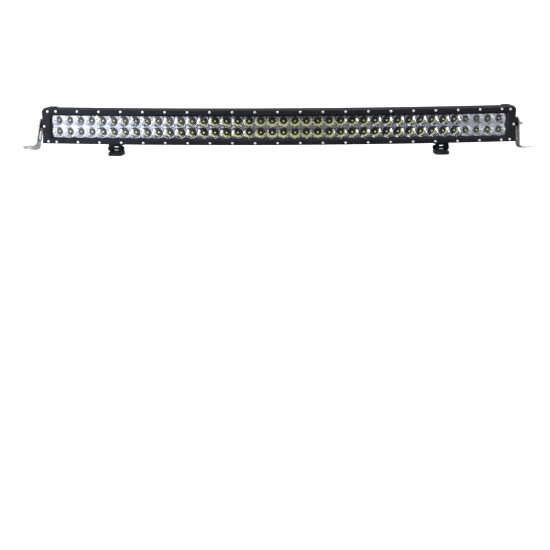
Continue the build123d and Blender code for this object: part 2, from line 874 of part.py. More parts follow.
# ---------------------------------------------------------------- side brackets
washer_start = boss_length + fit_gap / 2
leg_start = washer_start + friction_washer_thick + moving_gap
leg_end = leg_start + bracket_thick
pivot_head_radius = pivot_head_flats / sqrt(3)
for side, name in both_sides:
    pivot_end = cap_plane(side, cap_length, pivot_depth, pivot_height)
    outward = pivot_end.z_dir
    inward = pivot_end.x_dir * side
    swing = radians(bracket_swing[side])
    leg_up = Vector(0, 0, 1) * cos(swing) + inward * sin(swing)
    leg_origin = pivot_end.origin + outward * leg_start
    leg_plane = Plane(leg_origin, x_dir=leg_up.cross(outward), z_dir=outward)
    edge_view = Plane(leg_origin, x_dir=outward, z_dir=outward.cross(leg_up))
    foot_plane = Plane(leg_plane.origin - leg_up * bracket_drop, x_dir=outward, z_dir=leg_up)
    foot_end = bracket_thick + bracket_reach
    with BuildPart() as side_bracket:
        with BuildSketch(edge_view):
            with BuildLine():
                bend_radius = bracket_bend + bracket_thick
                outer_line = FilletPolyline(
                    (0, bracket_width / 2),
                    (0, -bracket_drop),
                    (foot_end, -bracket_drop),
                    radius=bend_radius,
                )
                inner_line = FilletPolyline(
                    (foot_end, -bracket_drop + bracket_thick),
                    (bracket_thick, -bracket_drop + bracket_thick),
                    (bracket_thick, bracket_width / 2),
                    radius=bracket_bend,
                )
                Line(outer_line @ 1, inner_line @ 0)
                Line(inner_line @ 1, outer_line @ 0)
            make_face()
        extrude(amount=bracket_width / 2, both=True)
        with BuildSketch(leg_plane):
            Circle(bracket_width / 2)
            with Locations((0, -bracket_drop)):
                Rectangle(bracket_width, 2 * bracket_drop)
        extrude(amount=2 * foot_end, both=True, mode=Mode.INTERSECT)
        with BuildSketch(foot_plane) as foot_outline:
            with BuildLine():
                shoulder = bracket_thick + bracket_shoulder
                Polyline(
                    (-bracket_width, -bracket_width / 2),
                    (shoulder, -bracket_width / 2),
                    (foot_end, -bracket_tip),
                    (foot_end, bracket_tip),
                    (shoulder, bracket_width / 2),
                    (-bracket_width, bracket_width / 2),
                    close=True,
                )
            make_face()
            tip_corners = foot_outline.vertices().group_by(Axis((0, 0, 0), outward))[-1]
            fillet(tip_corners, bracket_tip_round)
        extrude(amount=2 * bracket_drop, both=True, mode=Mode.INTERSECT)
        with BuildSketch(foot_plane):
            with Locations((foot_end - bracket_slot_inset, 0)):
                SlotOverall(bracket_slot_length, bracket_slot_width)
        extrude(amount=2 * bracket_thick, both=True, mode=Mode.SUBTRACT)
        with BuildSketch(leg_plane):
            Circle(pivot_bolt_radius + running_fit)
            with Locations((0, -leg_slot_drop)):
                SlotOverall(leg_slot_length, leg_slot_width, rotation=90)
        extrude(amount=2 * bracket_thick, both=True, mode=Mode.SUBTRACT)
    save(side_bracket, f"side_bracket_{name}")

    with BuildPart() as friction_washer:
        with BuildSketch(pivot_end.offset(washer_start)):
            Circle(friction_washer_radius)
            Circle(pivot_bolt_radius + running_fit, mode=Mode.SUBTRACT)
        extrude(amount=friction_washer_thick)
    save(friction_washer, f"friction_washer_{name}")

    flat_start = leg_end + moving_gap
    spring_start = flat_start + flat_washer_thick + fit_gap / 2
    head_start = spring_start + spring_washer_thick + fit_gap / 2
    with BuildPart() as bracket_washers:
        with BuildSketch(pivot_end.offset(flat_start)):
            Circle(flat_washer_radius)
            Circle(pivot_bolt_radius + running_fit, mode=Mode.SUBTRACT)
        extrude(amount=flat_washer_thick)
        with BuildSketch(pivot_end.offset(spring_start)):
            Circle(spring_washer_radius)
            Circle(pivot_bolt_radius + running_fit, mode=Mode.SUBTRACT)
            with Locations((spring_washer_radius, 0)):
                Rectangle(spring_washer_radius, spring_washer_thick / 2, mode=Mode.SUBTRACT)
        extrude(amount=spring_washer_thick)
    save(bracket_washers, f"bracket_washers_{name}")

    with BuildPart() as bracket_bolt:
        with BuildSketch(pivot_end.offset(head_start)):
            RegularPolygon(pivot_head_radius, 6)
        extrude(amount=pivot_head_height)
        with BuildSketch(pivot_end.offset(head_start + pivot_head_height)):
            Circle(pivot_head_flats / 2)
        extrude(amount=-pivot_head_height, taper=-60, mode=Mode.INTERSECT)
        with BuildSketch(pivot_end.offset(head_start)):
            Circle(pivot_bolt_radius)
        extrude(amount=-head_start - pivot_bolt_bite)
    save(bracket_bolt, f"bracket_bolt_{name}")

# ---------------------------------------------------------------- slide feet
neck_top = bar_bottom - moving_gap
neck_bottom = neck_top - neck_plate
slot_floor_level = bar_bottom + slot_lip
nut_bottom = slot_floor_level + moving_gap
hook_start = bar_depth - slot_depth_place + moving_gap
ear_start = lug_inner + lug_thick + moving_gap
bolt_head_start = ear_start + ear_thick + fit_gap / 2
plate_bottom = pad_thick + fit_gap
plate_top = plate_bottom + foot_plate
foot_head_radius = foot_bolt_head_flats / sqrt(3)
axis_height = (plate_top + neck_bottom) / 2
lug_radius = (neck_bottom - plate_top) / 2 - moving_gap
lug_rise = neck_bottom + neck_plate / 2 - axis_height
for side, name in both_sides:
    ground = upright_plane(side * foot_along, slot_depth_place, 0)
    seat = ground.offset(axis_height)
    side_view = Plane(seat.origin, x_dir=seat.y_dir, z_dir=seat.x_dir)

    with BuildPart() as slide_nut:
        with BuildSketch(ground.offset(nut_bottom)):
            Rectangle(nut_length, slot_width - 4 * moving_gap)
            Circle(clamp_radius + running_fit, mode=Mode.SUBTRACT)
        extrude(amount=nut_thick)
    save(slide_nut, f"slide_nut_{name}")

    with BuildPart() as foot_clamp_bolt:
        with BuildSketch(ground.offset(neck_bottom + fit_gap)):
            Circle(clamp_head_radius)
        extrude(amount=clamp_head)
        with BuildSketch(ground.offset(neck_bottom + fit_gap)):
            Circle(clamp_radius)
        extrude(amount=nut_bottom + nut_thick - neck_bottom - fit_gap)
        with BuildSketch(ground.offset(neck_bottom + fit_gap)):
            RegularPolygon(clamp_head_radius / 2, 6)
        extrude(amount=clamp_head / 2, mode=Mode.SUBTRACT)
    save(foot_clamp_bolt, f"foot_clamp_bolt_{name}")

    with BuildPart() as foot_neck:
        with BuildSketch(ground.offset(neck_bottom)):
            with Locations((0, (hook_start + hook_thick - neck_front) / 2)):
                Rectangle(neck_width, hook_start + hook_thick + neck_front)
        extrude(amount=neck_plate)
        with BuildSketch(ground.offset(neck_bottom)):
            with Locations((0, hook_start + hook_thick / 2)):
                Rectangle(neck_width, hook_thick)
        extrude(amount=neck_plate + moving_gap + hook_height)
        for lug in (-1, 1):
            with BuildSketch(side_view.offset(lug * (lug_inner + lug_thick / 2))):
                Circle(lug_radius)
                with Locations((0, lug_rise / 2)):
                    Rectangle(2 * lug_radius, lug_rise)
            extrude(amount=lug_thick / 2, both=True)
        with BuildSketch(side_view):
            Circle(foot_bolt_radius + running_fit)
        extrude(amount=neck_width, both=True, mode=Mode.SUBTRACT)
        with Locations(ground.offset(neck_bottom)):
            Cylinder(
                clamp_radius + 2 * fit_gap,
                3 * neck_plate,
                mode=Mode.SUBTRACT,
            )
            Cylinder(
                clamp_head_radius + 2 * fit_gap,
                2 * (clamp_head + 2 * fit_gap),
                mode=Mode.SUBTRACT,
            )
    save(foot_neck, f"foot_neck_{name}")

    with BuildPart() as foot_base:
        with BuildSketch(ground.offset(plate_bottom)):
            Rectangle(foot_width, foot_depth)
        extrude(amount=foot_plate)
        chamfer(foot_base.edges().filter_by(Axis.Z), foot_corner)
        chamfer(foot_base.faces().sort_by(Axis.Z)[-1].edges(), edge_break)
        for ear in (-1, 1):
            with BuildSketch(side_view.offset(ear * (ear_start + ear_thick / 2))):
                with BuildLine():
                    Polyline(
                        (-lug_radius - foot_plate, plate_top - axis_height - edge_break),
                        (-lug_radius, 0),
                        (lug_radius, 0),
                        (lug_radius + foot_plate, plate_top - axis_height - edge_break),
                        close=True,
                    )
                make_face()
                Circle(lug_radius)
            extrude(amount=ear_thick / 2, both=True)
        with BuildSketch(side_view):
            Circle(foot_bolt_radius + running_fit)
        extrude(amount=foot_width, both=True, mode=Mode.SUBTRACT)
        with BuildSketch(ground):
            with GridLocations(0, 2 * foot_hole_place, 1, 2):
                Circle(foot_hole_radius)
        extrude(amount=axis_height, mode=Mode.SUBTRACT)
    save(foot_base, f"foot_base_{name}")

    with BuildPart() as foot_pad:
        with BuildSketch(ground) as pad_outline:
            Rectangle(foot_width, foot_depth)
            chamfer(pad_outline.vertices(), foot_corner)
            with GridLocations(0, 2 * foot_hole_place, 1, 2):
                Circle(pad_hole_radius, mode=Mode.SUBTRACT)
        extrude(amount=pad_thick)
    save(foot_pad, f"foot_pad_{name}")

    with BuildPart() as foot_pivot_bolt:
        with BuildSketch(side_view.offset(bolt_head_start)):
            RegularPolygon(foot_head_radius, 6)
        extrude(amount=foot_bolt_head)
        with BuildSketch(side_view.offset(bolt_head_start)):
            Circle(foot_bolt_radius)
        extrude(amount=-2 * bolt_head_start - foot_nut - edge_break)
        with BuildSketch(side_view.offset(-bolt_head_start)):
            RegularPolygon(foot_head_radius, 6)
            Circle(foot_bolt_radius + running_fit, mode=Mode.SUBTRACT)
        extrude(amount=-foot_nut)
    save(foot_pivot_bolt, f"foot_pivot_bolt_{name}")
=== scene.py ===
"""Looks of a curved two-row LED light bar, dressed over its packed construction model.

Lengths are metres in the row frame: X runs along the bar, -Y is the way it shines and +Z is up.
"""

import json
import logging
import math
from dataclasses import dataclass, field
from enum import Enum
from typing import Callable, Sequence

import bmesh
import bpy
from mathutils import Matrix, Vector

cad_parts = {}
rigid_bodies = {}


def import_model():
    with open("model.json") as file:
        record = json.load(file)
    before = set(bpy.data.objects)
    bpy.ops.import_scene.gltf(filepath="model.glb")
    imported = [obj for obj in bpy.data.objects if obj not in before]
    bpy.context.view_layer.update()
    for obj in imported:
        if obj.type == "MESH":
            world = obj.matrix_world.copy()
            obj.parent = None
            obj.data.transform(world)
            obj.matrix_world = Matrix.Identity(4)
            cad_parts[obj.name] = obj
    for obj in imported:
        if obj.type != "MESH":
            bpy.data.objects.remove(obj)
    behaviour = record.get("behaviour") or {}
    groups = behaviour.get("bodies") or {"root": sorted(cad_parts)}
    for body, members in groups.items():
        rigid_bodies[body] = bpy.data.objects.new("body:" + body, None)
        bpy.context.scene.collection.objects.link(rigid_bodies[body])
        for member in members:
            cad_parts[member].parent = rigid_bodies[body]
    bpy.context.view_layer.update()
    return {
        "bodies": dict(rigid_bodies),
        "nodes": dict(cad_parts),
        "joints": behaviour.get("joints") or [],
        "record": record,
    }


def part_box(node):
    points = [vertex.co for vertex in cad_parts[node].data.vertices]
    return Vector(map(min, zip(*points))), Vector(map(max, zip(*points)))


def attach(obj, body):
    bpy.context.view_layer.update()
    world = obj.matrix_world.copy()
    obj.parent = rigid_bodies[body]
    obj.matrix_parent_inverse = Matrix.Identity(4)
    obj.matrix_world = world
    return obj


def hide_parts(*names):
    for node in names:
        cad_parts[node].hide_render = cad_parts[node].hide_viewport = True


log = logging.getLogger("light_bar")

MM = 0.001
NOISE_MIDDLE_CLOUDS = (0.35, 0.65)
NOISE_MIDDLE_STREAKS = (0.4, 0.62)
NOISE_TOP_SPECKS = (0.52, 0.68)
SMOOTHEST = 0.01
WHITE = (1.0, 1.0, 1.0)

Colour = tuple[float, float, float]
Ring = list[Vector]


class Side(Enum):
    """An end of the bar, with the sign of X there."""

    LEFT = -1
    RIGHT = 1

    @property
    def word(self) -> str:
        """The side's name as the construction nodes spell it."""
        return self.name.lower()


class Optic(Enum):
    """What a reflector module does with the light."""

    SPOT = "spot"
    FLOOD = "flood"


# ---- node trees


class Graph:
    """Adds nodes and links to one node tree."""

    def __init__(self, tree: bpy.types.NodeTree) -> None:
        """Keeps the tree.

        Args:
            tree: The shader or geometry tree to fill.
        """
        self.tree = tree

    @staticmethod
    def socket(sockets: Sequence, key: int | str) -> bpy.types.NodeSocket:
        """Finds a socket by its place, or by its name among those in use.

        Args:
            sockets: A node's inputs or outputs.
            key: Index or name.

        Returns:
            The socket.
        """
        if isinstance(key, int):
            return sockets[key]
        return next(s for s in sockets if s.name == key and s.enabled)

    def node(self, kind: str, inputs: dict | None = None, **settings: object) -> bpy.types.Node:
        """Adds a node.

        Args:
            kind: The node's type.
            inputs: Values, or output sockets to link, by input name or place.
            settings: The node's own properties.

        Returns:
            The new node.
        """
        made = self.tree.nodes.new(kind)
        for name, value in settings.items():
            setattr(made, name, value)
        self.feed(made, inputs or {})
        return made

    def feed(self, made: bpy.types.Node, inputs: dict) -> None:
        """Fills a node's inputs.

        Args:
            made: The node.
            inputs: Values, or output sockets to link, by input name or place.
        """
        for key, value in inputs.items():
            target = self.socket(made.inputs, key)
            if isinstance(value, bpy.types.NodeSocket):
                self.tree.links.new(value, target)
            elif target.type == "RGBA":
                target.default_value = (*value, 1.0)
            else:
                target.default_value = value

    def math(self, operation: str, first: object, second: object = 0.0) -> bpy.types.NodeSocket:
        """Adds a math node.

        Args:
            operation: Such as "ADD".
            first: Number or socket.
            second: Number or socket.

        Returns:
            The result's socket.
        """
        return self.node("ShaderNodeMath", {0: first, 1: second}, operation=operation).outputs[0]

    def mix(self, share: object, first: object, second: object) -> bpy.types.NodeSocket:
        """Adds a colour mix.

        Args:
            share: How much of the second colour, as a number or socket.
            first: Colour or socket.
            second: Colour or socket.

        Returns:
            The mixed colour's socket.
        """
        values = {"Factor": share, "A": first, "B": second}
        made = self.node("ShaderNodeMix", values, data_type="RGBA")
        return self.socket(made.outputs, "Result")

    def spread(
        self, value: object, span: tuple[float, float], low: float = 0.0, high: float = 1.0
    ) -> bpy.types.NodeSocket:
        """Adds a map range, held at its ends.

        Args:
            value: Number or socket.
            span: Values that give the low and the high result.
            low: Result at the span's start.
            high: Result at the span's end.

        Returns:
            The result's socket.
        """
        places = {0: value, 1: span[0], 2: span[1], 3: low, 4: high}
        return self.node("ShaderNodeMapRange", places).outputs[0]


def open_group(
    name: str, kind: str, inputs: Sequence[tuple], outputs: Sequence[tuple]
) -> tuple[Graph, bpy.types.Node, bpy.types.Node]:
    """Starts a node group with named sockets.

    Args:
        name: The group's name.
        kind: "ShaderNodeTree" or "GeometryNodeTree".
        inputs: (name, socket type, default or None) of each input.
        outputs: (name, socket type) of each output.

    Returns:
        The graph, its input node and its output node.
    """
    tree = bpy.data.node_groups.new(name, kind)
    for label, socket_type, default in inputs:
        made = tree.interface.new_socket(label, in_out="INPUT", socket_type=socket_type)
        if default is not None:
            made.default_value = default
    for label, socket_type in outputs:
        tree.interface.new_socket(label, in_out="OUTPUT", socket_type=socket_type)
    graph = Graph(tree)
    return graph, graph.node("NodeGroupInput"), graph.node("NodeGroupOutput")


def grain_group() -> bpy.types.NodeTree:
    """Fine texture: a height, and a mask of its specks.

    Returns:
        The shader group.
    """
    graph, given, result = open_group(
        "fine_grain",
        "ShaderNodeTree",
        [
            ("Vector", "NodeSocketVector", None),
            ("Grain Size", "NodeSocketFloat", 0.5 * MM),
            ("Roundness", "NodeSocketFloat", 0.5),
        ],
        [("Height", "NodeSocketFloat"), ("Specks", "NodeSocketFloat")],
    )
    density = graph.math("DIVIDE", 1.0, given.outputs["Grain Size"])
    cells = graph.node(
        "ShaderNodeTexVoronoi",
        {"Vector": given.outputs["Vector"], "Scale": density},
        feature="SMOOTH_F1",
    )
    noise = graph.node(
        "ShaderNodeTexNoise",
        {"Vector": given.outputs["Vector"], "Scale": density, "Detail": 2.0, "Roughness": 0.6},
    )
    rounded = graph.math("MULTIPLY", cells.outputs["Distance"], given.outputs["Roundness"])
    height = graph.math("SUBTRACT", noise.outputs[0], rounded)
    specks = graph.spread(noise.outputs[0], NOISE_TOP_SPECKS)
    graph.feed(result, {"Height": height, "Specks": specks})
    return graph.tree


def patina_group() -> bpy.types.NodeTree:
    """Broad unevenness of a handled surface: a cloudy mask and a streaky one.

    Returns:
        The shader group.
    """
    graph, given, result = open_group(
        "patina",
        "ShaderNodeTree",
        [
            ("Vector", "NodeSocketVector", None),
            ("Cloud Size", "NodeSocketFloat", 60 * MM),
            ("Streak Size", "NodeSocketFloat", 4 * MM),
            ("Streak Stretch", "NodeSocketFloat", 18.0),
        ],
        [("Clouds", "NodeSocketFloat"), ("Streaks", "NodeSocketFloat")],
    )
    cloud_density = graph.math("DIVIDE", 1.0, given.outputs["Cloud Size"])
    clouds = graph.node(
        "ShaderNodeTexNoise",
        {"Vector": given.outputs["Vector"], "Scale": cloud_density, "Detail": 4.0},
    )
    apart = graph.node("ShaderNodeSeparateXYZ", {0: given.outputs["Vector"]})
    squeezed = graph.math("DIVIDE", apart.outputs[0], given.outputs["Streak Stretch"])
    stretched = graph.node(
        "ShaderNodeCombineXYZ", {0: squeezed, 1: apart.outputs[1], 2: apart.outputs[2]}
    )
    streak_density = graph.math("DIVIDE", 1.0, given.outputs["Streak Size"])
    streaks = graph.node(
        "ShaderNodeTexNoise",
        {"Vector": stretched.outputs[0], "Scale": streak_density, "Detail": 3.0},
    )
    cloud_mask = graph.spread(clouds.outputs[0], NOISE_MIDDLE_CLOUDS)
    streak_mask = graph.spread(streaks.outputs[0], NOISE_MIDDLE_STREAKS)
    graph.feed(result, {"Clouds": cloud_mask, "Streaks": streak_mask})
    return graph.tree


# ---- finishes


def new_material(name: str) -> tuple[bpy.types.Material, Graph, bpy.types.Node, bpy.types.NodeSocket]:
    """Starts a material.

    Args:
        name: Its name.

    Returns:
        The material, its graph, its Principled shader and the object coordinates.
    """
    material = bpy.data.materials.new(name)
    material.use_nodes = True
    graph = Graph(material.node_tree)
    place = graph.node("ShaderNodeTexCoord").outputs["Object"]
    return material, graph, material.node_tree.nodes["Principled BSDF"], place


@dataclass(frozen=True)
class Finish:
    """A surface whose colour, roughness and relief vary as on the real material.

    The colour runs between two tones by the clouds and streaks, and specks lie on top.
    """

    name: str
    tone: Colour
    second_tone: Colour
    speck_tone: Colour
    speck_share: float = 0.3
    roughness: float = 0.5
    roughness_swing: float = 0.1
    metallic: float = 0.0
    specular: float = 0.5
    coat: float = 0.0
    coat_roughness: float = 0.1
    grain_size: float = 0.5 * MM
    grain_roundness: float = 0.5
    relief: float = 0.2
    relief_depth: float = 0.1 * MM
    cloud_size: float = 60 * MM
    streak_share: float = 0.0
    streak_stretch: float = 18.0
    streak_size: float = 4 * MM
    rim_tone: Colour | None = None  # where the mesh's "core" attribute is 0

    def build(self, groups: "Groups") -> bpy.types.Material:
        """Makes the material.

        Args:
            groups: The shared shader groups.

        Returns:
            The material.
        """
        material, graph, shader, place = new_material(self.name)
        grain = graph.node(
            "ShaderNodeGroup",
            {"Vector": place, "Grain Size": self.grain_size, "Roundness": self.grain_roundness},
            node_tree=groups.grain,
        )
        sizes = {
            "Cloud Size": self.cloud_size,
            "Streak Size": self.streak_size,
            "Streak Stretch": self.streak_stretch,
        }
        patina = graph.node("ShaderNodeGroup", {"Vector": place, **sizes}, node_tree=groups.patina)
        streaks = graph.math("MULTIPLY", patina.outputs["Streaks"], self.streak_share)
        uneven = graph.math("MAXIMUM", patina.outputs["Clouds"], streaks)
        toned = graph.mix(uneven, self.tone, self.second_tone)
        specks = graph.math("MULTIPLY", grain.outputs["Specks"], self.speck_share)
        colour = graph.mix(specks, toned, self.speck_tone)
        if self.rim_tone is not None:
            core = graph.node("ShaderNodeAttribute", attribute_name="core").outputs["Fac"]
            colour = graph.mix(core, self.rim_tone, colour)
        smoother, rougher = self.roughness - self.roughness_swing, self.roughness + self.roughness_swing
        relief = {"Strength": self.relief, "Distance": self.relief_depth}
        bump = graph.node("ShaderNodeBump", {**relief, "Height": grain.outputs["Height"]})
        surface = {
            "Base Color": colour,
            "Roughness": graph.spread(uneven, (0.0, 1.0), max(smoother, SMOOTHEST), rougher),
            "Normal": bump.outputs[0],
            "Metallic": self.metallic,
            "Specular IOR Level": self.specular,
            "Coat Weight": self.coat,
            "Coat Roughness": self.coat_roughness,
        }
        graph.feed(shader, surface)
        return material


@dataclass(frozen=True)
class ClearPlastic:
    """Clear moulded polycarbonate that lets lamplight through to what lies behind it."""

    name: str = "clear_polycarbonate"
    tint: Colour = (0.975, 0.985, 1.0)
    refraction: float = 1.5
    roughness: float = 0.015
    film_roughness: float = 0.0375
    film_size: float = 35 * MM
    shadow: float = 0.04  # how much lamplight it stops

    def build(self, groups: "Groups") -> bpy.types.Material:
        """Makes the material.

        Args:
            groups: The shared shader groups.

        Returns:
            The material.
        """
        material, graph, shader, place = new_material(self.name)
        film = {"Vector": place, "Cloud Size": self.film_size}
        patina = graph.node("ShaderNodeGroup", film, node_tree=groups.patina)
        clouds = patina.outputs["Clouds"]
        shadow_ray = graph.node("ShaderNodeLightPath").outputs["Is Shadow Ray"]
        surface = {
            "Base Color": self.tint,
            "Roughness": graph.spread(clouds, (0.0, 1.0), self.roughness, self.film_roughness),
            "Alpha": graph.spread(shadow_ray, (0.0, 1.0), 1.0, self.shadow),
            "Transmission Weight": 1.0,
            "IOR": self.refraction,
        }
        graph.feed(shader, surface)
        return material


@dataclass
class Groups:
    """The shader groups that several finishes share."""

    grain: bpy.types.NodeTree = field(default_factory=grain_group)
    patina: bpy.types.NodeTree = field(default_factory=patina_group)


POWDER_COAT = dict(
    speck_tone=(0.04, 0.038, 0.046),
    roughness=0.47,
    roughness_swing=0.07,
    specular=0.18,
    grain_size=0.9 * MM,
    relief=0.35,
    relief_depth=0.12 * MM,
)

FINISHES: dict[str, Finish | ClearPlastic] = {
    "housing": Finish(
        "black_powder_coat_housing", (0.007, 0.007, 0.008), (0.012, 0.0115, 0.014), **POWDER_COAT
    ),
    "frame": Finish(
        "black_powder_coat_frame", (0.007, 0.0065, 0.009), (0.013, 0.012, 0.017),
        speck_share=0.5,
        cloud_size=25 * MM,
        **POWDER_COAT,
    ),
    "cap": Finish(
        "black_powder_coat_cap", (0.007, 0.007, 0.008), (0.012, 0.0115, 0.014), **POWDER_COAT
    ),
    "foot": Finish(
        "black_powder_coat_foot", (0.014, 0.014, 0.015), (0.026, 0.026, 0.028),
        cloud_size=12 * MM,
        **POWDER_COAT,
    ),
    "steel": Finish(
        "stainless_steel", (0.96, 0.96, 0.95), (0.88, 0.88, 0.88), (0.98, 0.98, 0.98),
        speck_share=0.2,
        roughness=0.46,
        roughness_swing=0.08,
        metallic=1.0,
        grain_size=0.3 * MM,
        relief=0.08,
        cloud_size=3 * MM,
    ),
    "black_bolt": Finish(
        "black_oxide_steel", (0.05, 0.05, 0.052), (0.03, 0.03, 0.032), (0.12, 0.12, 0.12),
        roughness=0.36,
        metallic=1.0,
        grain_size=0.4 * MM,
        cloud_size=3 * MM,
    ),
    "bracket": Finish(
        "zinc_plated_steel", (0.58, 0.55, 0.47), (0.38, 0.37, 0.33), (0.72, 0.68, 0.56),
        speck_share=0.35,
        roughness=0.24,
        roughness_swing=0.08,
        metallic=1.0,
        grain_size=1.2 * MM,
        relief=0.12,
        cloud_size=9 * MM,
        streak_share=0.6,
    ),
    "nut": Finish(
        "zinc_plated_nut", (0.62, 0.61, 0.57), (0.5, 0.5, 0.48), (0.7, 0.69, 0.6),
        roughness=0.36,
        metallic=1.0,
        cloud_size=6 * MM,
    ),
    "spot": Finish(
        "vacuum_chrome", (0.81, 0.81, 0.83), (0.75, 0.76, 0.8), (0.88, 0.88, 0.9),
        speck_share=0.1,
        roughness=0.045,
        roughness_swing=0.025,
        metallic=1.0,
        grain_size=2.2 * MM,
        relief=0.05,
        relief_depth=0.05 * MM,
        cloud_size=14 * MM,
    ),
    "flood": Finish(
        "stippled_chrome", (0.8, 0.8, 0.83), (0.7, 0.71, 0.76), (0.88, 0.88, 0.9),
        speck_share=0.25,
        roughness=0.3,
        roughness_swing=0.06,
        metallic=1.0,
        grain_size=1.4 * MM,
        grain_roundness=0.9,
        relief=0.55,
        relief_depth=0.22 * MM,
        cloud_size=18 * MM,
    ),
    "board": Finish(
        "black_solder_mask", (0.006, 0.008, 0.006), (0.01, 0.013, 0.01), (0.03, 0.03, 0.025),
        roughness=0.35,
        grain_size=0.6 * MM,
        cloud_size=9 * MM,
    ),
    "led_package": Finish(
        "ceramic_package", (0.006, 0.006, 0.006), (0.011, 0.011, 0.01), (0.03, 0.03, 0.026),
        roughness=0.55,
        specular=0.25,
        grain_size=0.25 * MM,
        cloud_size=2 * MM,
    ),
    "led_dome": Finish(
        "phosphor_under_silicone", (0.95, 0.9, 0.2), (0.9, 0.88, 0.32), (1.0, 0.96, 0.5),
        rim_tone=(0.012, 0.012, 0.01),
        roughness=0.3,
        coat=1.0,
        coat_roughness=0.04,
        grain_size=0.2 * MM,
        relief=0.05,
        cloud_size=1.5 * MM,
    ),
    "rubber": Finish(
        "matt_rubber", (0.018, 0.018, 0.019), (0.03, 0.03, 0.03), (0.05, 0.05, 0.05),
        roughness=0.8,
        roughness_swing=0.08,
        specular=0.3,
        grain_size=0.7 * MM,
        relief=0.4,
        cloud_size=10 * MM,
    ),
    "plastic": Finish(
        "moulded_black_plastic", (0.02, 0.02, 0.02), (0.032, 0.032, 0.033), (0.05, 0.05, 0.05),
        roughness=0.5,
        grain_size=0.5 * MM,
        cloud_size=8 * MM,
    ),
    "lead": Finish(
        "lead_insulation", (0.35, 0.02, 0.018), (0.28, 0.015, 0.012), (0.4, 0.05, 0.04),
        roughness=0.45,
        grain_size=0.4 * MM,
        cloud_size=5 * MM,
    ),
    "lens": ClearPlastic(),
}


class Paintbox:
    """Builds each finish once and puts it on pieces."""

    def __init__(self) -> None:
        """Builds the shared groups and the materials."""
        groups = Groups()
        self.materials = {slot: finish.build(groups) for slot, finish in FINISHES.items()}

    def dress(self, nodes: dict[str, bpy.types.Object], slot: str, *names: str) -> None:
        """Gives construction nodes a finish.

        Args:
            nodes: The construction nodes by name.
            slot: The finish.
            names: The nodes to dress.
        """
        for name in names:
            mesh = nodes[name].data
            mesh.materials.clear()
            mesh.materials.append(self.materials[slot])
            log.info("dressed %s as %s", name, slot)


# ---- mesh helpers


def outline(radius_at: Callable[[float], float], level: float, count: int) -> Ring:
    """A closed ring of points about the part's facing axis.

    Args:
        radius_at: Radius by angle.
        level: How far the ring stands out towards -Y.
        count: Number of points.

    Returns:
        The points.
    """
    turns = [2 * math.pi * step / count for step in range(count)]
    return [
        Vector((radius_at(turn) * math.cos(turn), -level, radius_at(turn) * math.sin(turn)))
        for turn in turns
    ]


def circle(radius: float, level: float, count: int) -> Ring:
    """A round ring; the arguments are those of outline()."""
    return outline(lambda turn: radius, level, count)


def hexagon_radius(flats: float) -> Callable[[float], float]:
    """Radius by angle of a hexagon.

    Args:
        flats: Distance across its flats.

    Returns:
        The function of the angle.
    """
    sixth = math.pi / 3

    def radius_at(turn: float) -> float:
        """Distance from the middle to the hexagon at an angle."""
        return flats / 2 / math.cos((turn % sixth) - sixth / 2)

    return radius_at


def loft(name: str, rings: Sequence[Ring], sharp: float, closed: tuple[bool, bool]) -> bpy.types.Object:
    """Joins rings of equal count into a surface.

    Args:
        name: The object's name.
        rings: The rings in order.
        sharp: Angle in degrees past which an edge stays crisp.
        closed: Whether the first and the last ring are filled.

    Returns:
        The new object, linked to the scene.
    """
    mesh = bpy.data.meshes.new(name)
    shape = bmesh.new()
    rows = [[shape.verts.new(point) for point in ring] for ring in rings]
    count = len(rows[0])
    for row, following in zip(rows, rows[1:]):
        for step in range(count):
            after = (step + 1) % count
            shape.faces.new((row[step], row[after], following[after], following[step]))
    if closed[0]:
        shape.faces.new(list(reversed(rows[0])))
    if closed[1]:
        shape.faces.new(rows[-1])
    bmesh.ops.recalc_face_normals(shape, faces=shape.faces)
    shape.to_mesh(mesh)
    shape.free()
    mesh.shade_smooth()
    mesh.set_sharp_from_angle(angle=math.radians(sharp))
    made = bpy.data.objects.new(name, mesh)
    bpy.context.scene.collection.objects.link(made)
    return made


# ---- geometry trees


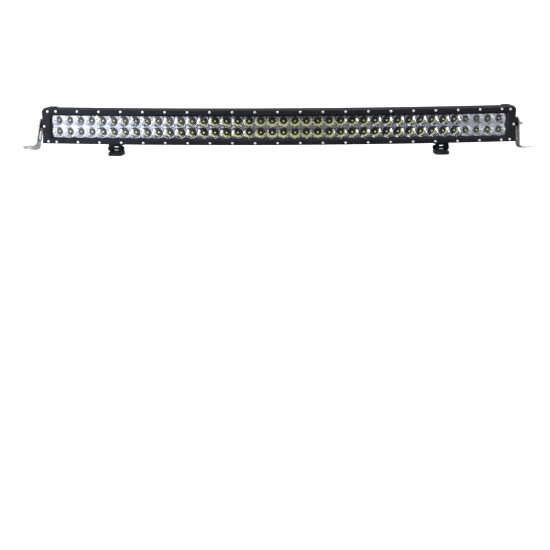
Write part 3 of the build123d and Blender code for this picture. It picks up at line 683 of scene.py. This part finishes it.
def arc_array_tree() -> bpy.types.NodeTree:
    """Rows of a part on an arc about a vertical axis, each facing out from it.

    Returns:
        The geometry tree.
    """
    graph, given, result = open_group(
        "rows_on_arc",
        "GeometryNodeTree",
        [
            ("Part", "NodeSocketObject", None),
            ("Finish", "NodeSocketMaterial", None),
            ("Columns", "NodeSocketInt", 4),
            ("Rows", "NodeSocketInt", 2),
            ("Pitch", "NodeSocketFloat", 0.025),
            ("Row Pitch", "NodeSocketFloat", 0.025),
            ("Middle", "NodeSocketFloat", 0.0),
            ("Arc Radius", "NodeSocketFloat", 2.8),
            ("Arc Centre", "NodeSocketFloat", 2.8),
            ("Height", "NodeSocketFloat", 0.06),
            ("Spin", "NodeSocketFloat", 0.0),
            ("Seed", "NodeSocketInt", 1),
        ],
        [("Geometry", "NodeSocketGeometry")],
    )
    size = given.outputs
    index = graph.node("GeometryNodeInputIndex").outputs[0]
    column = graph.math("MODULO", index, size["Columns"])
    row = graph.math("FLOOR", graph.math("DIVIDE", index, size["Columns"]))

    def from_middle(step: bpy.types.NodeSocket, total: bpy.types.NodeSocket) -> bpy.types.NodeSocket:
        """Steps counted from the middle of a row."""
        half = graph.math("DIVIDE", graph.math("SUBTRACT", total, 1.0), 2.0)
        return graph.math("SUBTRACT", step, half)

    along = graph.math("MULTIPLY", from_middle(column, size["Columns"]), size["Pitch"])
    along = graph.math("ADD", along, size["Middle"])
    turn = graph.math("DIVIDE", along, size["Arc Radius"])
    across = graph.math("MULTIPLY", graph.math("SINE", turn), size["Arc Radius"])
    inward = graph.math("MULTIPLY", graph.math("COSINE", turn), size["Arc Radius"])
    lift = graph.math("MULTIPLY", from_middle(row, size["Rows"]), size["Row Pitch"])
    place = graph.node(
        "ShaderNodeCombineXYZ",
        {
            0: across,
            1: graph.math("SUBTRACT", size["Arc Centre"], inward),
            2: graph.math("ADD", size["Height"], lift),
        },
    )
    count = graph.math("MULTIPLY", size["Columns"], size["Rows"])
    points = graph.node("GeometryNodePoints", {"Count": count, "Position": place.outputs[0]})
    spin = graph.node(
        "FunctionNodeRandomValue",
        {"Min": 0.0, "Max": size["Spin"], "Seed": size["Seed"]},
        data_type="FLOAT",
    )
    spun = graph.socket(spin.outputs, "Value")
    facing = graph.node("ShaderNodeCombineXYZ", {0: 0.0, 1: spun, 2: turn})
    rotation = graph.node("FunctionNodeEulerToRotation", {0: facing.outputs[0]})
    finish_instances(graph, given, result, points.outputs[0], rotation.outputs[0])
    return graph.tree


def placed_tree() -> bpy.types.NodeTree:
    """A part at each point of a mesh, turned as the point's "turn" attribute says.

    Returns:
        The geometry tree.
    """
    graph, given, result = open_group(
        "parts_at_points",
        "GeometryNodeTree",
        [
            ("Geometry", "NodeSocketGeometry", None),
            ("Part", "NodeSocketObject", None),
            ("Finish", "NodeSocketMaterial", None),
        ],
        [("Geometry", "NodeSocketGeometry")],
    )
    turn = graph.node("GeometryNodeInputNamedAttribute", {"Name": "turn"}, data_type="FLOAT_VECTOR")
    vector = graph.socket(turn.outputs, "Attribute")
    rotation = graph.node("FunctionNodeEulerToRotation", {0: vector})
    finish_instances(graph, given, result, given.outputs["Geometry"], rotation.outputs[0])
    return graph.tree


def finish_instances(
    graph: Graph,
    given: bpy.types.Node,
    result: bpy.types.Node,
    points: bpy.types.NodeSocket,
    rotation: bpy.types.NodeSocket,
) -> None:
    """Ends a tree: the part at each point, made real and given its finish.

    Args:
        graph: The tree's graph.
        given: Its input node, with Part and Finish.
        result: Its output node.
        points: Where the parts go.
        rotation: How each is turned.
    """
    part = graph.node("GeometryNodeObjectInfo", {"Object": given.outputs["Part"]})
    placed = graph.node(
        "GeometryNodeInstanceOnPoints",
        {
            "Points": points,
            "Instance": graph.socket(part.outputs, "Geometry"),
            "Rotation": rotation,
        },
    )
    real = graph.node("GeometryNodeRealizeInstances", {0: placed.outputs[0]})
    painted = graph.node(
        "GeometryNodeSetMaterial",
        {"Geometry": real.outputs[0], "Material": given.outputs["Finish"]},
    )
    graph.feed(result, {"Geometry": painted.outputs[0]})


def grow(
    name: str, tree: bpy.types.NodeTree, values: dict[str, object], carrier: bpy.types.Mesh | None = None
) -> bpy.types.Object:
    """Runs a geometry tree and keeps what it makes as a plain mesh.

    Args:
        name: The new piece's name.
        tree: The geometry tree.
        values: Its inputs by name.
        carrier: The mesh that it starts from, if it needs one.

    Returns:
        The new piece, with no modifier.
    """
    source = bpy.data.objects.new(f"{name}_source", carrier or bpy.data.meshes.new(f"{name}_source"))
    bpy.context.scene.collection.objects.link(source)
    modifier = source.modifiers.new("grow", "NODES")
    modifier.node_group = tree
    for item in tree.interface.items_tree:
        if item.item_type == "SOCKET" and item.in_out == "INPUT" and item.name in values:
            modifier[item.identifier] = values[item.name]
    depsgraph = bpy.context.evaluated_depsgraph_get()
    mesh = bpy.data.meshes.new_from_object(source.evaluated_get(depsgraph), depsgraph=depsgraph)
    mesh.name = name
    bpy.data.objects.remove(source)
    piece = bpy.data.objects.new(name, mesh)
    bpy.context.scene.collection.objects.link(piece)
    log.info("made %s with %d faces", name, len(mesh.polygons))
    return piece


def settle(piece: bpy.types.Object, body: str, slot: str, *nodes: str) -> None:
    """Puts a piece on its body and hides the construction nodes that it stands for.

    Args:
        piece: The finished piece.
        body: The construction body that it rides on.
        slot: The record's material slot; not used.
        nodes: The construction nodes that it replaces.
    """
    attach(piece, body)
    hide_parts(*nodes)


# ---- the bar's layout


@dataclass(frozen=True)
class Arc:
    """The bar's arc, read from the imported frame."""

    centre: float
    radius: float
    middle_height: float

    @classmethod
    def read(cls, frame: dict) -> "Arc":
        """Finds the arc.


        Returns:
            The arc through the frame's front face.
        """
        slide = next(joint for joint in frame["joints"] if joint["name"] == "left_foot_slide")
        centre = slide["pos_m"][1]
        rail_low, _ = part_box("frame_rail_top")
        lens_low, lens_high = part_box("lens")
        return cls(centre, centre - rail_low.y, (lens_low.z + lens_high.z) / 2)

    def place(self, along: float) -> tuple[Vector, float]:
        """A place on the bar's front face, at its middle height.

        Args:
            along: Arc length from mid-length.

        Returns:
            The point and the turn about Z there.
        """
        turn = along / self.radius
        across, inward = self.radius * math.sin(turn), self.radius * math.cos(turn)
        return Vector((across, self.centre - inward, self.middle_height)), turn

    def rows(self, depth: float, columns: int, pitch: float, row_pitch: float) -> dict[str, float]:
        """The inputs that put two rows on the arc.

        Args:
            depth: Their distance behind the front face.
            columns: Parts in a row.
            pitch: Spacing along the arc.
            row_pitch: Spacing of the rows.

        Returns:
            The inputs of rows_on_arc by name.
        """
        return {
            "Columns": columns,
            "Rows": 2,
            "Pitch": pitch,
            "Row Pitch": row_pitch,
            "Arc Radius": self.radius - depth,
            "Arc Centre": self.centre,
            "Height": self.middle_height,
        }


# ---- screws


@dataclass
class ButtonScrew:
    """A stainless button-head screw with a hexagon socket, facing -Y."""

    head_radius: float = 2.9 * MM
    head_height: float = 1.5 * MM
    shank_radius: float = 1.7 * MM
    shank_length: float = 6.0 * MM
    socket_flats: float = 2.25 * MM
    socket_depth: float = 0.8 * MM
    crown: tuple = ((1.0, 0.0), (1.0, 0.22), (0.93, 0.55), (0.8, 0.82), (0.62, 0.97), (0.52, 1.0))
    points: int = 24
    sharp: float = 35.0

    def build(self, name: str) -> bpy.types.Object:
        """Makes the screw's mesh.

        Args:
            name: The object's name.

        Returns:
            The prototype, at the origin.
        """
        socket = hexagon_radius(self.socket_flats)
        floor = self.head_height - self.socket_depth
        rings = [circle(self.shank_radius, level, self.points) for level in (-self.shank_length, 0.0)]
        for across, up in self.crown:
            rings.append(circle(self.head_radius * across, self.head_height * up, self.points))
        rings += [outline(socket, level, self.points) for level in (self.head_height, floor)]
        return loft(name, rings, self.sharp, (True, True))


@dataclass
class FrameScrews:
    """The screws that clamp the rails and the frame ends."""

    arc: Arc
    screw: ButtonScrew = field(default_factory=ButtonScrew)
    pitch: float = 50 * MM
    edge: float = 4.3 * MM  # bar's edge to a rail screw
    end_edge: float = 5.0 * MM
    end_inset: float = 7.4 * MM
    middle_inset: float = 16.0 * MM
    columns: int = 21
    seed: int = 7

    def build(self, paint: Paintbox, rows_tree: bpy.types.NodeTree, points_tree: bpy.types.NodeTree) -> None:
        """Makes both groups of screws.

        Args:
            paint: The finishes.
            rows_tree: The tree that makes rows on an arc.
            points_tree: The tree that places parts at points.
        """
        prototype = self.screw.build("button_screw")
        edge_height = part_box("frame_rail_top")[1].z - self.arc.middle_height
        rows = self.arc.rows(0.0, self.columns, self.pitch, 2 * (edge_height - self.edge))
        steel = {"Part": prototype, "Finish": paint.materials["steel"]}
        turning = {"Spin": math.pi / 3, "Seed": self.seed}
        rail = grow("rail_screws", rows_tree, {**steel, **rows, **turning})
        settle(rail, "bar", "steel", "frame_screws")
        end = grow("frame_end_screws", points_tree, steel, self.end_points(edge_height))
        settle(end, "bar", "steel", "frame_screws")
        bpy.data.objects.remove(prototype)

    def end_points(self, edge_height: float) -> bpy.types.Mesh:
        """The places of the frame ends' screws.

        Args:
            edge_height: From the bar's middle to its edge.

        Returns:
            A mesh of points with their turns.
        """
        window_half = math.asin(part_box("frame_rail_top")[1].x / self.arc.radius) * self.arc.radius
        places = (
            (self.end_inset, edge_height - self.end_edge),
            (self.end_inset, self.end_edge - edge_height),
            (self.middle_inset, 0.0),
        )
        points, turns = [], []
        for side in Side:
            base, turn = self.arc.place(side.value * window_half)
            tangent = Vector((math.cos(turn), math.sin(turn), 0.0)) * side.value
            for count, (inset, height) in enumerate(places):
                points.append(base + tangent * inset + Vector((0, 0, height)))
                turns.append((0.0, count * math.pi / 7, turn))
        return point_mesh("frame_end_points", points, turns)


def point_mesh(name: str, points: Sequence[Vector], turns: Sequence[tuple]) -> bpy.types.Mesh:
    """A mesh of loose points, each with its turn.

    Args:
        name: The mesh's name.
        points: The places.
        turns: The Euler turn at each.

    Returns:
        The mesh.
    """
    mesh = bpy.data.meshes.new(name)
    mesh.from_pydata([tuple(point) for point in points], [], [])
    attribute = mesh.attributes.new("turn", "FLOAT_VECTOR", "POINT")
    for entry, turn in zip(attribute.data, turns):
        entry.vector = turn
    return mesh


# ---- optics


@dataclass(frozen=True)
class CupShape:
    """What differs between the cups of spot and flood modules."""

    hole_radius: float  # shows the black board around an LED
    flute_depth: float  # share of the wall's radius


CUPS = {
    Optic.SPOT: CupShape(3.9 * MM, 0.022),
    Optic.FLOOD: CupShape(4.6 * MM, 0.1),
}


@dataclass
class ReflectorModule:
    """Four columns of two cups in one moulded, metallised plate."""

    arc: Arc
    optic: Optic
    pitch: float = 25.4 * MM
    row_pitch: float = 25.0 * MM
    focus_depth: float = 22.0 * MM
    front_depth: float = 9.9 * MM
    back_depth: float = 23.0 * MM
    rim: float = 0.35 * MM
    lip: float = 0.25 * MM
    columns: int = 4
    points: int = 48
    wall_rings: int = 11
    flutes: int = 8
    corner_drop: float = 1.6 * MM
    lip_round: float = 0.3  # share of the lip at its middle ring
    weld: float = 0.02 * MM
    tile_sharp: float = 50.0
    plate_sharp: float = 40.0

    @property
    def led_radius(self) -> float:
        """Radius of the arc through the LEDs."""
        return self.arc.radius - self.focus_depth

    def border(self, level: float, drop: float = 0.0) -> Ring:
        """The tile's outline at a level, which meets its neighbours' exactly.

        Args:
            level: How far it stands in front of the LEDs.
            drop: How much lower its corners lie.

        Returns:
            The ring of points.
        """
        half_width = (self.led_radius + level) * math.tan(self.pitch / self.led_radius / 2)
        half_height = self.row_pitch / 2
        ring = []
        for step in range(self.points):
            turn = 2 * math.pi * step / self.points
            reach = max(abs(math.cos(turn)), abs(math.sin(turn)))
            across, up = math.cos(turn) / reach, math.sin(turn) / reach
            sunk = drop * (1.0 / reach - 1.0) / (math.sqrt(2.0) - 1.0)
            ring.append(Vector((across * half_width, sunk - level, up * half_height)))
        return ring

    def tile(self) -> bpy.types.Object:
        """One cup with its share of the plate's front and back.

        Returns:
            The prototype, whose outline is left open.
        """
        front = self.focus_depth - self.front_depth
        back = self.focus_depth - self.back_depth
        hole = CUPS[self.optic].hole_radius
        mouth = min(self.pitch, self.row_pitch) / 2 - self.rim
        inner = mouth - self.lip
        rounding = self.lip_round * self.lip
        focal = (inner**2 - hole**2) / (front - self.lip - back) / 4
        rings = [
            self.border(front, self.corner_drop),
            circle(mouth, front, self.points),
            circle(inner + rounding, front - rounding, self.points),
        ]
        for step in range(self.wall_rings):
            share = step / (self.wall_rings - 1)
            radius = inner + (hole - inner) * share
            level = back + (radius**2 - hole**2) / (4 * focal)
            rings.append(outline(self.wall(radius, share), level, self.points))
        rings.append(self.border(back))
        return loft(f"{self.optic.value}_tile", rings, self.tile_sharp, (False, False))

    def wall(self, radius: float, share: float) -> Callable[[float], float]:
        """The cup wall's radius by angle, fluted between its mouth and its hole.

        Args:
            radius: The wall's greatest radius at this level.
            share: How far down the wall, from 0 at the mouth to 1 at the hole.

        Returns:
            The function of the angle.
        """
        depth = CUPS[self.optic].flute_depth * math.sin(math.pi * share)

        def radius_at(turn: float) -> float:
            """The wall's radius at an angle."""
            return radius * (1.0 - depth * abs(math.sin(self.flutes * turn / 2)))

        return radius_at

    def build(
        self, name: str, node: str, position: float, paint: Paintbox, tree: bpy.types.NodeTree
    ) -> None:
        """Makes one module.

        Args:
            name: The piece's name.
            node: The construction node that it stands for.
            position: Modules from the bar's middle.
            paint: The finishes.
            tree: The tree that makes rows on an arc.
        """
        prototype = self.tile()
        values = {
            "Part": prototype,
            "Finish": paint.materials[self.optic.value],
            "Middle": position * self.columns * self.pitch,
            **self.arc.rows(self.focus_depth, self.columns, self.pitch, self.row_pitch),
        }
        piece = grow(name, tree, values)
        bpy.data.objects.remove(prototype)
        self.close(piece.data)
        settle(piece, "bar", "reflector", node)

    def close(self, mesh: bpy.types.Mesh) -> None:
        """Welds the plate's tiles and joins its front and back outlines with an edge wall.

        Args:
            mesh: The plate's mesh, changed in place.
        """
        shape = bmesh.new()
        shape.from_mesh(mesh)
        bmesh.ops.remove_doubles(shape, verts=shape.verts, dist=self.weld)
        rims = [edge for edge in shape.edges if edge.is_boundary]
        bmesh.ops.bridge_loops(shape, edges=rims)
        bmesh.ops.recalc_face_normals(shape, faces=shape.faces)
        shape.to_mesh(mesh)
        shape.free()
        mesh.set_sharp_from_angle(angle=math.radians(self.plate_sharp))


@dataclass
class Optics:
    """Ten reflector modules: flood at both ends, spot between them."""

    arc: Arc
    modules: int = 10

    def build(self, paint: Paintbox, tree: bpy.types.NodeTree) -> None:
        """Makes every module.

        Args:
            paint: The finishes.
            tree: The tree that makes rows on an arc.
        """
        for module in range(self.modules):
            position = module - (self.modules - 1) / 2
            if module in (0, self.modules - 1):
                side = Side.LEFT if module == 0 else Side.RIGHT
                name, node, optic = f"flood_optic_{side.word}", f"flood_reflector_{side.word}", Optic.FLOOD
            else:
                name, node, optic = f"spot_optic_{module}", f"spot_reflector_{module}", Optic.SPOT
            ReflectorModule(self.arc, optic).build(name, node, position, paint, tree)


# ---- LEDs


@dataclass
class LightEngine:
    """The LED boards with a package and a domed lens at the bottom of each cup."""

    arc: Arc
    columns: int = 40
    pitch: float = 25.4 * MM
    row_pitch: float = 25.0 * MM
    led_depth: float = 22.0 * MM
    package_side: float = 5.0 * MM
    package_height: float = 1.0 * MM
    dome_radius: float = 2.2 * MM
    core_radius: float = 2.0 * MM
    seat_radius: float = 2.45 * MM
    seat_depth: float = 0.1 * MM
    edge_bevel: float = 0.15 * MM
    corner_blunt: float = 1.3  # greatest radius over the half side
    dome_rises: tuple = (0.0, 22.0, 28.0, 45.0, 65.0, 84.0)
    points: int = 20
    package_sharp: float = 30.0
    dome_sharp: float = 60.0

    def package(self) -> bpy.types.Object:
        """A square package with a round seat for its dome.

        Returns:
            The prototype.
        """
        half = self.package_side / 2

        def square(turn: float) -> float:
            """Radius of a square with blunt corners at an angle."""
            return min(half / max(abs(math.cos(turn)), abs(math.sin(turn))), self.corner_blunt * half)

        rings = [
            outline(square, -self.package_height, self.points),
            outline(square, -self.edge_bevel, self.points),
            outline(lambda turn: square(turn) - self.edge_bevel, 0.0, self.points),
            circle(self.seat_radius, 0.0, self.points),
            circle(self.dome_radius, -self.seat_depth, self.points),
        ]
        return loft("led_package", rings, self.package_sharp, (True, True))

    def dome(self) -> bpy.types.Object:
        """A half ball of silicone, whose "core" attribute is 1 over the phosphor.

        Returns:
            The prototype.
        """
        rings = []
        for rise in map(math.radians, self.dome_rises):
            level = self.dome_radius * math.sin(rise)
            rings.append(circle(self.dome_radius * math.cos(rise), level, self.points))
        made = loft("led_dome", rings, self.dome_sharp, (True, True))
        core = made.data.attributes.new("core", "FLOAT", "POINT")
        for entry, vertex in zip(core.data, made.data.vertices):
            across = math.hypot(vertex.co.x, vertex.co.z)
            entry.value = 1.0 if across < self.core_radius else 0.0
        return made

    def build(self, nodes: dict[str, bpy.types.Object], paint: Paintbox, tree: bpy.types.NodeTree) -> None:
        """Makes the packages and domes and dresses the boards.

        Args:
            nodes: The construction nodes.
            paint: The finishes.
            tree: The tree that makes rows on an arc.
        """
        rows = self.arc.rows(self.led_depth, self.columns, self.pitch, self.row_pitch)
        for prototype, slot in ((self.package(), "led_package"), (self.dome(), "led_dome")):
            values = {"Part": prototype, "Finish": paint.materials[slot], **rows}
            piece = grow(f"{slot}_array", tree, values)
            bpy.data.objects.remove(prototype)
            settle(piece, "bar", slot, f"{slot}s")
        boards = [name for name in nodes if name.startswith("led_board_")]
        paint.dress(nodes, "board", *boards)
        paint.dress(nodes, "steel", "board_screws")


# ---- shells and hardware


@dataclass
class DressedAssembly:
    """A sub-assembly whose construction nodes only need finishes."""

    def finishes(self) -> dict[str, tuple[str, ...]]:
        """Its nodes by finish."""
        return {}

    def build(self, nodes: dict[str, bpy.types.Object], paint: Paintbox) -> None:
        """Dresses the nodes.

        Args:
            nodes: The construction nodes.
            paint: The finishes.
        """
        for slot, names in self.finishes().items():
            paint.dress(nodes, slot, *names)


@dataclass
class Shell(DressedAssembly):
    """The finned housing, the clamping frame, the lens and the seals."""

    def finishes(self) -> dict[str, tuple[str, ...]]:
        """Its nodes by finish."""
        frame = ("frame_rail_top", "frame_rail_bottom", "frame_end_left", "frame_end_right")
        return {"housing": ("housing",), "frame": frame, "lens": ("lens",), "rubber": ("lens_gasket",)}


@dataclass
class DriverBay(DressedAssembly):
    """What lies in the chamber behind the LEDs."""

    def finishes(self) -> dict[str, tuple[str, ...]]:
        """Its nodes by finish."""
        return {
            "board": tuple(f"driver_board_{side.word}" for side in Side),
            "plastic": ("board_standoffs", *(f"driver_parts_{side.word}" for side in Side)),
            "lead": ("power_leads",),
        }


@dataclass
class EndCap(DressedAssembly):
    """A die-cast end cap with its gasket and port fitting."""

    side: Side

    def finishes(self) -> dict[str, tuple[str, ...]]:
        """Its nodes by finish."""
        word = self.side.word
        port = "cable_inlet" if self.side is Side.LEFT else "breather_vent"
        return {"cap": (f"end_cap_{word}",), "rubber": (f"end_cap_gasket_{word}",), "plastic": (port,)}


@dataclass
class SideBracket(DressedAssembly):
    """A turning steel bracket with its bolt and washers."""

    side: Side

    def finishes(self) -> dict[str, tuple[str, ...]]:
        """Its nodes by finish."""
        word = self.side.word
        return {
            "bracket": (f"side_bracket_{word}",),
            "steel": (f"bracket_bolt_{word}", f"bracket_washers_{word}"),
            "rubber": (f"friction_washer_{word}",),
        }


@dataclass
class SlideFoot(DressedAssembly):
    """A foot that slides in the T-slot and tilts."""

    side: Side

    def finishes(self) -> dict[str, tuple[str, ...]]:
        """Its nodes by finish."""
        word = self.side.word
        return {
            "foot": (f"foot_neck_{word}", f"foot_base_{word}"),
            "black_bolt": (f"foot_clamp_bolt_{word}", f"foot_pivot_bolt_{word}"),
            "nut": (f"slide_nut_{word}",),
            "rubber": (f"foot_pad_{word}",),
        }


# ---- studio


@dataclass(frozen=True)
class Softbox:
    """One large soft lamp."""

    name: str
    place: tuple[float, float, float]
    width: float
    height: float
    power: float
    colour: Colour = WHITE
    target: tuple[float, float, float] = (0.0, 0.0, 0.05)

    def build(self) -> None:
        """Makes the lamp."""
        data = bpy.data.lights.new(self.name, "AREA")
        data.shape = "RECTANGLE"
        data.size, data.size_y = self.width, self.height
        data.energy = self.power
        data.color = self.colour
        lamp = bpy.data.objects.new(self.name, data)
        bpy.context.scene.collection.objects.link(lamp)
        lamp.location = self.place
        aim = Vector(self.target) - Vector(self.place)
        lamp.rotation_euler = aim.to_track_quat("-Z", "Y").to_euler()


@dataclass
class Studio:
    """A pale floor, soft light and the camera."""

    floor_half: float = 30.0
    floor_roughness: float = 0.9
    floor_specular: float = 0.1
    floor_tone: Colour = (0.93, 0.93, 0.935)
    # what the object gets from the floor: dark in front, bright at the sides
    floor_bounce: Colour = (0.1, 0.1, 0.105)
    side_bounce: Colour = (0.76, 0.79, 0.9)
    left_reach: tuple[float, float] = (-0.26, -0.42)
    right_reach: tuple[float, float] = (0.3, 0.66)
    left_bounce: float = 0.85
    right_bounce: float = 0.22
    floor_glow: float = 0.55
    # what it gets from the surroundings, by direction
    base_glow: float = 0.05
    left_span: tuple[float, float] = (-0.22, -0.5)
    right_span: tuple[float, float] = (0.3, 0.7)
    top_span: tuple[float, float] = (0.55, 0.97)
    rear_span: tuple[float, float] = (0.1, 0.6)
    left_glow: float = 1.3
    right_glow: float = 0.7
    top_glow: float = 1.1
    rear_glow: float = 0.12
    left_tint: Colour = (0.86, 0.89, 1.0)
    camera_place: tuple[float, float, float] = (0.0746, -3.2686, 0.4463)
    azimuth: float = 1.477
    tilt: float = 12.48
    roll: float = -0.447
    focal_length: float = 95.8
    far_clip: float = 200.0
    lamps: tuple[Softbox, ...] = (
        Softbox("front_softbox", (0.0, -2.6, 2.1), 2.6, 0.6, 42.0),
        Softbox("left_softbox", (-2.4, -1.9, 0.8), 1.3, 1.3, 36.0, (0.9, 0.92, 1.0)),
        Softbox("right_softbox", (2.6, -1.7, 0.9), 1.0, 1.1, 14.0),
        Softbox("rear_softbox", (0.0, 2.2, 2.4), 3.0, 0.8, 16.0),
    )

    def build(self) -> None:
        """Makes the floor, the world, the lamps and the camera."""
        self.make_floor()
        self.make_world()
        for lamp in self.lamps:
            lamp.build()
        self.make_camera()

    def make_floor(self) -> None:
        """Makes the pale floor."""
        mesh = bpy.data.meshes.new("studio_floor")
        reach = self.floor_half
        corners = [(-reach, -reach, 0), (reach, -reach, 0), (reach, reach, 0), (-reach, reach, 0)]
        mesh.from_pydata(corners, [], [(0, 1, 2, 3)])
        floor = bpy.data.objects.new("studio_floor", mesh)
        bpy.context.scene.collection.objects.link(floor)
        material, graph, shader, place = new_material("pale_floor")
        seen = graph.node("ShaderNodeLightPath").outputs["Is Camera Ray"]
        across = graph.node("ShaderNodeSeparateXYZ", {0: place}).outputs[0]
        left = graph.spread(across, self.left_reach, high=self.left_bounce)
        right = graph.spread(across, self.right_reach, high=self.right_bounce)
        bounce = graph.mix(graph.math("MAXIMUM", left, right), self.floor_bounce, self.side_bounce)
        surface = {
            "Base Color": graph.mix(seen, bounce, self.floor_tone),
            "Roughness": self.floor_roughness,
            "Specular IOR Level": self.floor_specular,
            "Emission Color": WHITE,
            "Emission Strength": graph.math("MULTIPLY", seen, self.floor_glow),
        }
        graph.feed(shader, surface)
        mesh.materials.append(material)

    def make_world(self) -> None:
        """Makes a white backdrop whose light comes from the sides, the top and the rear."""
        world = bpy.data.worlds.new("studio_world")
        bpy.context.scene.world = world
        world.use_nodes = True
        graph = Graph(world.node_tree)
        direction = graph.node("ShaderNodeTexCoord").outputs["Generated"]
        across, along, up = graph.node("ShaderNodeSeparateXYZ", {0: direction}).outputs
        left = graph.spread(across, self.left_span, high=self.left_glow)
        light = graph.math("ADD", left, self.base_glow)
        for axis, span, glow in (
            (across, self.right_span, self.right_glow),
            (up, self.top_span, self.top_glow),
            (along, self.rear_span, self.rear_glow),
        ):
            light = graph.math("ADD", light, graph.spread(axis, span, high=glow))
        seen = graph.node("ShaderNodeLightPath").outputs["Is Camera Ray"]
        unseen = graph.math("SUBTRACT", 1.0, seen)
        strength = graph.math("ADD", graph.math("MULTIPLY", light, unseen), seen)
        colour = graph.mix(seen, graph.mix(left, WHITE, self.left_tint), WHITE)
        graph.feed(world.node_tree.nodes["Background"], {"Color": colour, "Strength": strength})

    def make_camera(self) -> None:
        """Makes the camera, tilted so that the bar lies in the upper part of the view."""
        data = bpy.data.cameras.new("camera")
        data.lens = self.focal_length
        data.clip_end = self.far_clip
        camera = bpy.data.objects.new("camera", data)
        bpy.context.scene.collection.objects.link(camera)
        turn, pitch, roll = map(math.radians, (self.azimuth, self.tilt, self.roll))
        upright = Matrix.Rotation(turn, 3, "Z") @ Matrix.Rotation(math.pi / 2 - pitch, 3, "X")
        camera.location = self.camera_place
        camera.rotation_euler = (upright @ Matrix.Rotation(roll, 3, "Z")).to_euler()
        bpy.context.scene.camera = camera


def main() -> None:
    """Dresses the construction model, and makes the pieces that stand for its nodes."""
    logging.basicConfig(level=logging.INFO, format="%(name)s: %(message)s")
    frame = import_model()
    nodes = frame["nodes"]
    paint = Paintbox()
    rows_tree, points_tree = arc_array_tree(), placed_tree()
    arc = Arc.read(frame)
    Shell().build(nodes, paint)
    FrameScrews(arc).build(paint, rows_tree, points_tree)
    Optics(arc).build(paint, rows_tree)
    LightEngine(arc).build(nodes, paint, rows_tree)
    DriverBay().build(nodes, paint)
    paint.dress(nodes, "steel", "end_cap_screws")
    for side in Side:
        EndCap(side).build(nodes, paint)
        SideBracket(side).build(nodes, paint)
        SlideFoot(side).build(nodes, paint)
    Studio().build()
    bpy.context.scene.view_settings.view_transform = "Standard"


if __name__ == "__main__":
    main()
